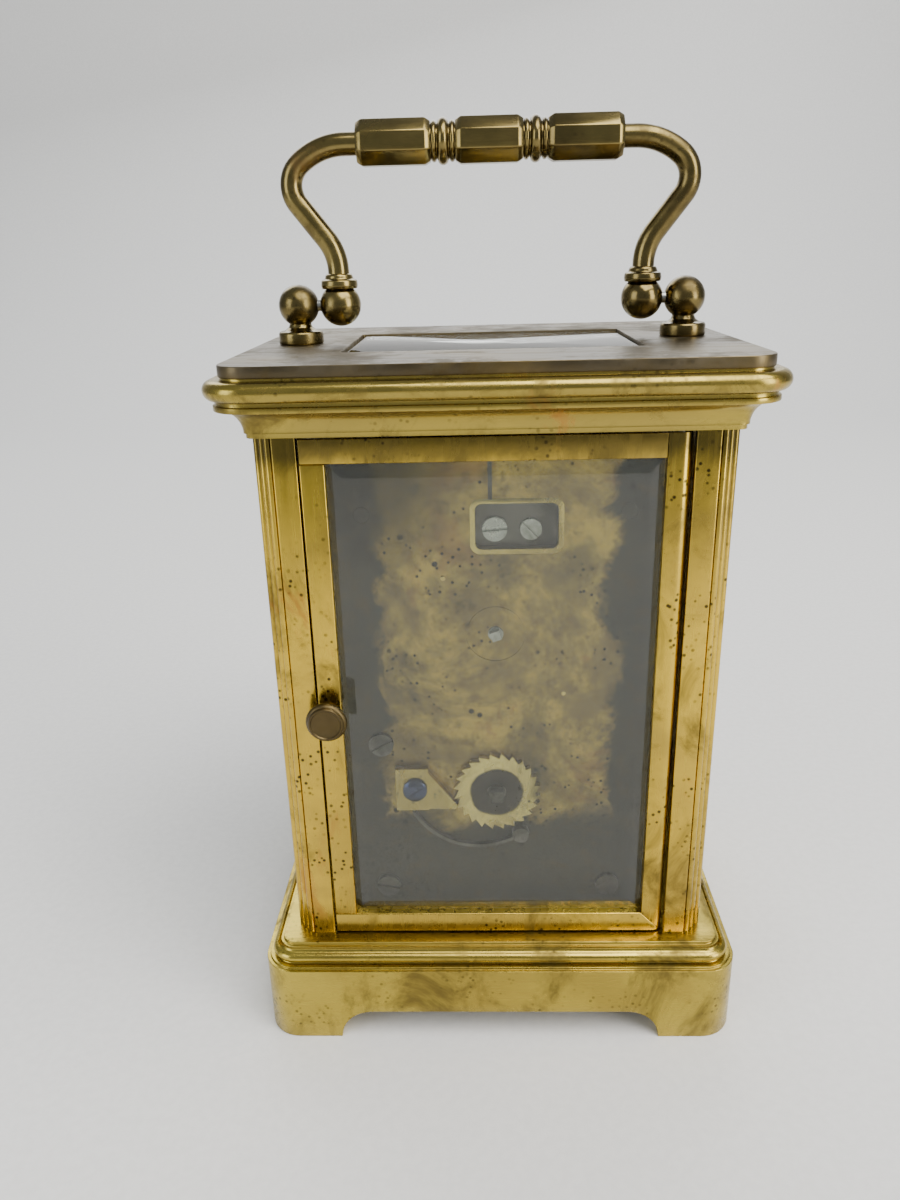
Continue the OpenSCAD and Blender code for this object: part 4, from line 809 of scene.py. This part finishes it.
class BuildDoor(Operator):
    """Builds the door's two stiles and two rails, with the mitre at the foot of the hinge stile"""

    bl_idname = "clock.build_door"
    bl_label = "Door bars"

    def bar(self, name, kind, shape):
        make("door_" + name + "_bar", [shape], finish("case"), "door", ("door_" + name + "_" + kind,))

    def execute(self, context):
        e = settings().bar_edge
        self.bar("latch", "stile", rounded_box(*LATCH_STILE, e, 2))
        self.bar("top", "rail", rounded_box(*TOP_RAIL, e, 0))
        low, high = HINGE_STILE
        r = (high[1] - low[1]) / 2
        mid = (high[1] + low[1]) / 2
        back = arc((low[0] + r, mid), r, 90, 270, 20)
        face = soften(((low[0] + r, low[1]), (high[0], low[1]), (high[0], high[1]), (low[0] + r, high[1])), e, 3,
                      closed=False)
        stile = prism(np.vstack((back[:-1], face[:-1])), low[2], high[2], 0.1 * MM)
        foot = stile[:4]
        foot[..., 2] += foot[..., 0] - low[0]
        self.bar("hinge", "stile", skin(stile))
        low, high = BOTTOM_RAIL
        depth = high[2] - low[2]
        axis_x = low[0] + r
        turn = np.radians(np.linspace(88, 0, 10))
        x = np.concatenate((axis_x - r * np.sin(turn), low[0] + depth + np.array((0, 0.3 * MM)),
                            high[0] - np.array((3, 0.5, 0)) * e))
        half_y = np.where(x < axis_x, np.sqrt(np.clip(r**2 - (x - axis_x) ** 2, 0, None)), r)
        half_z = np.minimum(x - low[0] - 0.02 * MM, depth) / 2
        end = np.array([0.0] * (len(x) - 2) + [0.1, 1.0]) * e
        half_y, half_z = half_y - end, np.maximum(half_z, 0.02 * MM) - end
        flat = rounded(half_y, half_z, np.minimum(e, 0.9 * np.minimum(half_y, half_z)))
        rail = np.stack((np.broadcast_to(x[:, None], flat.shape[:2]), flat[..., 0] + mid,
                         flat[..., 1] + low[2] + half_z[:, None] + end[:, None]), -1)
        self.bar("bottom", "rail", skin(rail))
        return {"FINISHED"}


class BuildKnob(Operator):
    """Turns the door's knob: a short stem, a rounded head and a ring round its dished face"""

    bl_idname = "clock.build_knob"
    bl_label = "Door knob"

    def execute(self, context):
        low, high = KNOB
        x, z = (low[0] + high[0]) / 2, (low[2] + high[2]) / 2
        y = LATCH_STILE[1][1]
        stem = ((0.02, -2.2), (0.88, -2.2), (0.88, 0), (1.8, 0), (1.8, 0.45), (1.35, 0.75), (1.3, 1.85),
                (2.5, 1.95))
        rim = arc((2.45, 2.9), 0.74, -70, 62, 9)
        face = ((2.72, 3.78), (2.62, 3.98), (2.36, 3.98), (2.26, 3.78), (1.5, 3.72), (0.02, 3.66))
        profile = np.vstack((soften(stem, 0.15, 3, closed=False), rim, soften(face, 0.08, 2, closed=False))) * MM
        make("door_knob_turned", [along_y(skin(lathe(profile, 64)), x, y, z)], finish("knob"), "door",
             ("door_knob",))
        return {"FINISHED"}


class BuildPlateRim(Operator):
    """Lays the rubbed rim round the opening in the back plate"""

    bl_idname = "clock.build_plate_rim"
    bl_label = "Plate opening rim"

    def execute(self, context):
        y = BACK_PLATE[1][1]
        half = np.array(((6.28, 3.58), (6.28, 3.58), (6.95, 4.25), (7.05, 4.35))) * MM
        flat = rounded(half[:, 0], half[:, 1], np.array((1.0, 1.0, 1.5, 1.55)) * MM, 6)
        level = np.array((-0.3, 0.03, 0.05, 0.0)) * MM
        rim = np.stack((flat[..., 0] - 3.3 * MM, np.broadcast_to(y + level[:, None], flat.shape[:2]),
                        flat[..., 1] + BACK_PLATE[0][2] + 70.4 * MM), -1)
        make("plate_opening_rim", [skin(rim, ring_of_rings=True)], finish("bright"))
        return {"FINISHED"}


class BuildHandle(Operator):
    """Builds the two bent arms, the two posts and the octagonal grip with its turned rings"""

    bl_idname = "clock.build_handle"
    bl_label = "Handle"

    def arm_path(self, grip_x, grip_z, arm_x, pivot_z):
        """Straight out of the grip, round a wide and a tight quarter, back on the slant, and down to the ball."""
        neck, wide, tight, shin, elbow, knee = 1.97 * MM, 11 * MM, 4.2 * MM, 8 * MM, 50, 38
        slope = toward(90 - knee)
        c1 = np.array((grip_x + neck, grip_z - wide))
        c2 = c1 + (wide - tight) * toward(elbow)
        p2 = c2 + tight * toward(-knee)
        run = (p2[0] - shin * (1 - slope[1]) - arm_x) / slope[0]
        p3 = p2 - run * slope
        c3 = p3 + shin * toward(-knee)
        start = np.column_stack((np.linspace(grip_x - 2 * MM, c1[0], 5)[:-1], np.full(4, grip_z)))
        slant = p2 + np.linspace(0, 1, 8)[1:-1, None] * (p3 - p2)
        down = np.column_stack((np.full(5, arm_x), np.linspace(c3[1], pivot_z, 6)[1:]))
        return np.vstack((start, arc(c1, wide, 90, elbow, 16), arc(c2, tight, elbow, -knee, 18)[1:], slant,
                          arc(c3, shin, 180 - knee, 180, 10), down))

    def octagon(self, flats, x0, x1):
        """A bar of eight flats with crisp softened corners: the ring is the octagon scaled at each station, and
        the ends drop by a turned chamfer."""
        r = flats / 2
        a = np.radians(np.arange(8) * 45 + 22.5)
        ring = soften(np.column_stack((np.cos(a), np.sin(a))) * r / np.cos(np.radians(22.5)), 0.16 * MM, 2)
        step, share = np.array((0, 0, 0.12, 0.75, 0.95)) * MM, np.array((0.5, 0.84, 0.875, 0.985, 1.0))
        x, size = np.concatenate((x0 + step, x1 - step[::-1])), np.concatenate((share, share[::-1]))
        flat = ring[None] * size[:, None, None]
        return skin(np.stack((np.broadcast_to(x[:, None], flat.shape[:2]), flat[..., 0], flat[..., 1]), -1))

    def execute(self, context):
        pivot_z = JOINT_AT["handle_fold"][2]
        grip_x = GRIP[1][0]
        grip_z = (GRIP[0][2] + GRIP[1][2]) / 2
        post_foot, ball_gap = 3.62, 6.8 * MM
        post_x = POSTS[1][0] - post_foot * MM
        arm_x = post_x - ball_gap
        rod = skin(tube(self.arm_path(grip_x, grip_z, arm_x, pivot_z), settings().rod))
        ball = arc((0, 0), 3.3, -89.6, 44, 26)
        collar = soften(((2.2, 2.42), (2.85, 2.5), (2.95, 3.0), (2.85, 3.75), (2.3, 3.95), (2.15, 4.5),
                         (1.9, 4.75), (1.2, 4.8), (0.02, 4.8)), 0.16, 3, closed=False)
        foot = standing(skin(lathe(np.vstack((ball, collar)) * MM)), arm_x, 0, pivot_z)
        for name, flip in (("right", False), ("left", True)):
            shapes = [rod, foot]
            make("handle_arm_bent_" + name, [mirrored(q) for q in shapes] if flip else shapes, finish("handle"),
                 "handle", ("handle_arm_" + name,), angle=40)
        roof = ROOF[1][2]
        rise = (pivot_z - roof) / MM
        low = soften(((0.02, 0), (3.5, 0), (post_foot, 0.2), (post_foot, 1.7), (3.4, 2.0), (2.6, 2.15),
                      (1.95, 2.6), (1.75, 3.1)), 0.14, 3, closed=False)
        head = arc((0, rise), 3.25, -56, 89.6, 26)
        post = skin(lathe(np.vstack((low, head)) * MM))
        make("handle_posts_turned", [standing(post, k * post_x, 0, roof) for k in (1, -1)], finish("handle"),
             replaces=("handle_posts",))
        flats = 6.5 * MM
        side, rings = 11.3 * MM, 3.8 * MM
        mid = grip_x - side - rings
        bars = [self.octagon(flats, a, b) for a, b in ((-grip_x, -grip_x + side), (-mid, mid),
                                                       (grip_x - side, grip_x))]
        r = flats / 2 / MM
        along = np.linspace(0, 3.8, 77)
        beads = [r - out + np.sqrt(np.clip(size**2 - (along - at) ** 2, 0, None))
                 for at, size, out in ((0.5, 0.38, 0.7), (1.9, 0.84, 0.75), (3.3, 0.38, 0.7))]
        profile = np.vstack(((0.02, -0.1), np.column_stack((np.max(beads, 0), along)), (0.02, 3.9))) * MM
        turned = skin(lathe(profile, 40))
        bars += [along_x(turned, x) for x in (-grip_x + side, mid)]
        make("handle_grip_octagonal", [standing(q, 0, 0, grip_z) for q in bars], finish("handle"), "handle",
             ("handle_grip",), angle=24)
        return {"FINISHED"}


class BuildDial(Operator):
    """Draws the chapter ring on the enamel dial: two fine circles, minute marks and roman hours"""

    bl_idname = "clock.build_dial"
    bl_label = "Dial figures"

    def execute(self, context):
        y = DIAL[0][1]
        centre = JOINT_AT["minute_hand_turn"]
        radius, track, line, lap, thick = 19.4 * MM, 1.5 * MM, 0.07 * MM, 0.05 * MM, 0.03 * MM
        hours_r, hour_h, narrow = 15.1 * MM, 5.4 * MM, 0.78
        shapes = []
        for r in (radius, radius - track):
            band = ((r - line, 0), (r + line, 0), (r + line, thick), (r - line, thick))
            shapes.append(skin(lathe(band, 180), ring_of_rings=True))
        for k in range(60):
            wide = (0.32 if k % 5 == 0 else 0.13) * MM
            box = rounded_box((-wide / 2, radius - track + lap, 0), (wide / 2, radius - lap, thick), 0.002 * MM)
            shapes.append(moved(box, Matrix.Rotation(math.radians(6 * k), 4, "Z")))
        for hour, text in enumerate(("XII", "I", "II", "III", "IIII", "V", "VI", "VII", "VIII", "IX", "X", "XI")):
            curve = bpy.data.curves.new("hour", "FONT")
            curve.body = text
            curve.size = hour_h
            curve.extrude = thick / 2
            curve.align_x = "CENTER"
            curve.align_y = "CENTER"
            writer = bpy.data.objects.new("hour", curve)
            bpy.context.scene.collection.objects.link(writer)
            mesh = bpy.data.meshes.new_from_object(writer.evaluated_get(bpy.context.evaluated_depsgraph_get()))
            verts = np.empty(len(mesh.vertices) * 3)
            mesh.vertices.foreach_get("co", verts)
            faces = [list(p.vertices) for p in mesh.polygons]
            place = (Matrix.Rotation(math.radians(-30 * hour), 4, "Z")
                     @ Matrix.Translation((0, hours_r, thick / 2)) @ Matrix.Diagonal((narrow, 1.0, 1.0, 1.0)))
            shapes.append(moved((verts.reshape(-1, 3), faces), place))
            bpy.data.objects.remove(writer)
            bpy.data.curves.remove(curve)
            bpy.data.meshes.remove(mesh)
        face = Matrix.Translation((centre[0], y, centre[2])) @ Matrix.Rotation(math.pi / 2, 4, "X")
        make("dial_chapter_ring", [moved(q, face) for q in shapes], finish("figures"))
        return {"FINISHED"}


class SetStage(Operator):
    """Sets the pale floor, the soft lights and the camera"""

    bl_idname = "clock.set_stage"
    bl_label = "Stage"

    def execute(self, context):
        floor = bpy.data.meshes.new("studio_floor")
        far, wall_y, wall_top, bend_r = 6.0, -0.9, 2.2, 0.35
        bend = np.radians(np.linspace(0, 90, 24))
        run = np.concatenate(((far,), wall_y + bend_r * (1 - np.sin(bend)), (wall_y,)))
        rise = np.concatenate(((0.0,), bend_r * (1 - np.cos(bend)), (wall_top,)))
        x = np.array((-far, far))
        grid = np.stack(np.broadcast_arrays(x[None], run[:, None], rise[:, None]), -1)
        k = np.arange(len(run) - 1)[:, None] * 2
        floor.from_pydata(grid.reshape(-1, 3), [], (k + np.array((0, 1, 3, 2))).tolist())
        floor.shade_smooth()
        floor.materials.append(finish("floor"))
        stage = bpy.data.objects.new("studio_floor", floor)
        bpy.context.scene.collection.objects.link(stage)
        world = bpy.context.scene.world or bpy.data.worlds.new("studio")
        bpy.context.scene.world = world
        world.use_nodes = True
        background = world.node_tree.nodes["Background"]
        background.inputs["Color"].default_value = (0.86, 0.93, 1.0, 1)
        background.inputs["Strength"].default_value = 0.42
        for name, place, aim, size, power, colour in (
                ("top", (-0.25, 0.25, 0.75), (0, 0, 0.08), (0.7, 0.5), 9, (1, 0.98, 0.95)),
                ("key", (-0.75, 0.55, 0.35), (0, 0, 0.08), (0.4, 0.7), 7, (1, 0.97, 0.92)),
                ("fill", (0.8, 0.6, 0.35), (0, 0, 0.08), (0.5, 0.7), 4, (0.94, 0.97, 1)),
                ("back", (0.1, -0.7, 0.6), (0, 0, 0.1), (1.0, 0.5), 5, (0.94, 0.97, 1))):
            lamp = bpy.data.lights.new(name, "AREA")
            lamp.shape = "RECTANGLE"
            lamp.size, lamp.size_y = size
            lamp.energy = power
            lamp.color = colour
            holder = bpy.data.objects.new(name, lamp)
            holder.location = place
            holder.rotation_euler = Vector(np.subtract(place, aim)).to_track_quat("Z", "Y").to_euler()
            holder.visible_camera = False
            bpy.context.scene.collection.objects.link(holder)
        self.camera()
        return {"FINISHED"}

    def camera(self):
        """The camera stands behind the clock, a little above it: its three axes are worked out from the pitch,
        yaw and roll, and the lens from the focal length over the frame's long side."""
        stand, sensor, focal = (0.00247, 0.15709, 0.12701), 36, 0.77262
        pitch, yaw, roll = (math.radians(a) for a in (20.67, -1.93, 1.47))
        forward = np.array((math.sin(yaw) * math.cos(pitch), math.cos(yaw) * math.cos(pitch), -math.sin(pitch)))
        level = np.array((math.cos(yaw), -math.sin(yaw), 0))
        up = np.cross(level, forward)
        right = math.cos(roll) * level - math.sin(roll) * up
        up = np.cross(right, forward)
        half_turn = np.diag((-1.0, -1.0, 1.0))
        axes = half_turn @ np.column_stack((right, up, -forward))
        camera = bpy.data.cameras.new("camera")
        camera.sensor_fit = "VERTICAL"
        camera.sensor_height = sensor
        camera.lens = sensor * focal
        camera.clip_start = 0.005
        holder = bpy.data.objects.new("camera", camera)
        holder.matrix_world = Matrix.Translation(stand) @ Matrix(axes.tolist()).to_4x4()
        bpy.context.scene.collection.objects.link(holder)
        bpy.context.scene.camera = holder


BUILDERS = (PaintFinishes, BuildBase, BuildCornice, BuildRoof, BuildPillars, BuildPanes, BuildDoor, BuildKnob,
            BuildPlateRim, BuildHandle, BuildDial, SetStage)


class ClockPanel(Panel):
    """Lists the clock's pieces in the sidebar"""

    bl_idname = "VIEW3D_PT_clock"
    bl_label = "Carriage clock"
    bl_space_type = "VIEW_3D"
    bl_region_type = "UI"
    bl_category = "Clock"

    def draw(self, context):
        for builder in BUILDERS:
            self.layout.operator(builder.bl_idname)
        for group in (context.scene.clock_settings, context.scene.clock_colours):
            for key in group.bl_rna.properties.keys()[2:]:
                self.layout.prop(group, key)


CLASSES = (ClockSettings, ClockColours) + BUILDERS + (ClockPanel,)


def register():
    for cls in CLASSES:
        bpy.utils.register_class(cls)
    bpy.types.Scene.clock_settings = PointerProperty(type=ClockSettings)
    bpy.types.Scene.clock_colours = PointerProperty(type=ClockColours)


def unregister():
    del bpy.types.Scene.clock_colours
    del bpy.types.Scene.clock_settings
    for cls in reversed(CLASSES):
        bpy.utils.unregister_class(cls)


def main():
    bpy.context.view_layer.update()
    register()
    for builder in BUILDERS:
        group, call = builder.bl_idname.split(".")
        getattr(getattr(bpy.ops, group), call)()


if __name__ == "__main__":
    main()
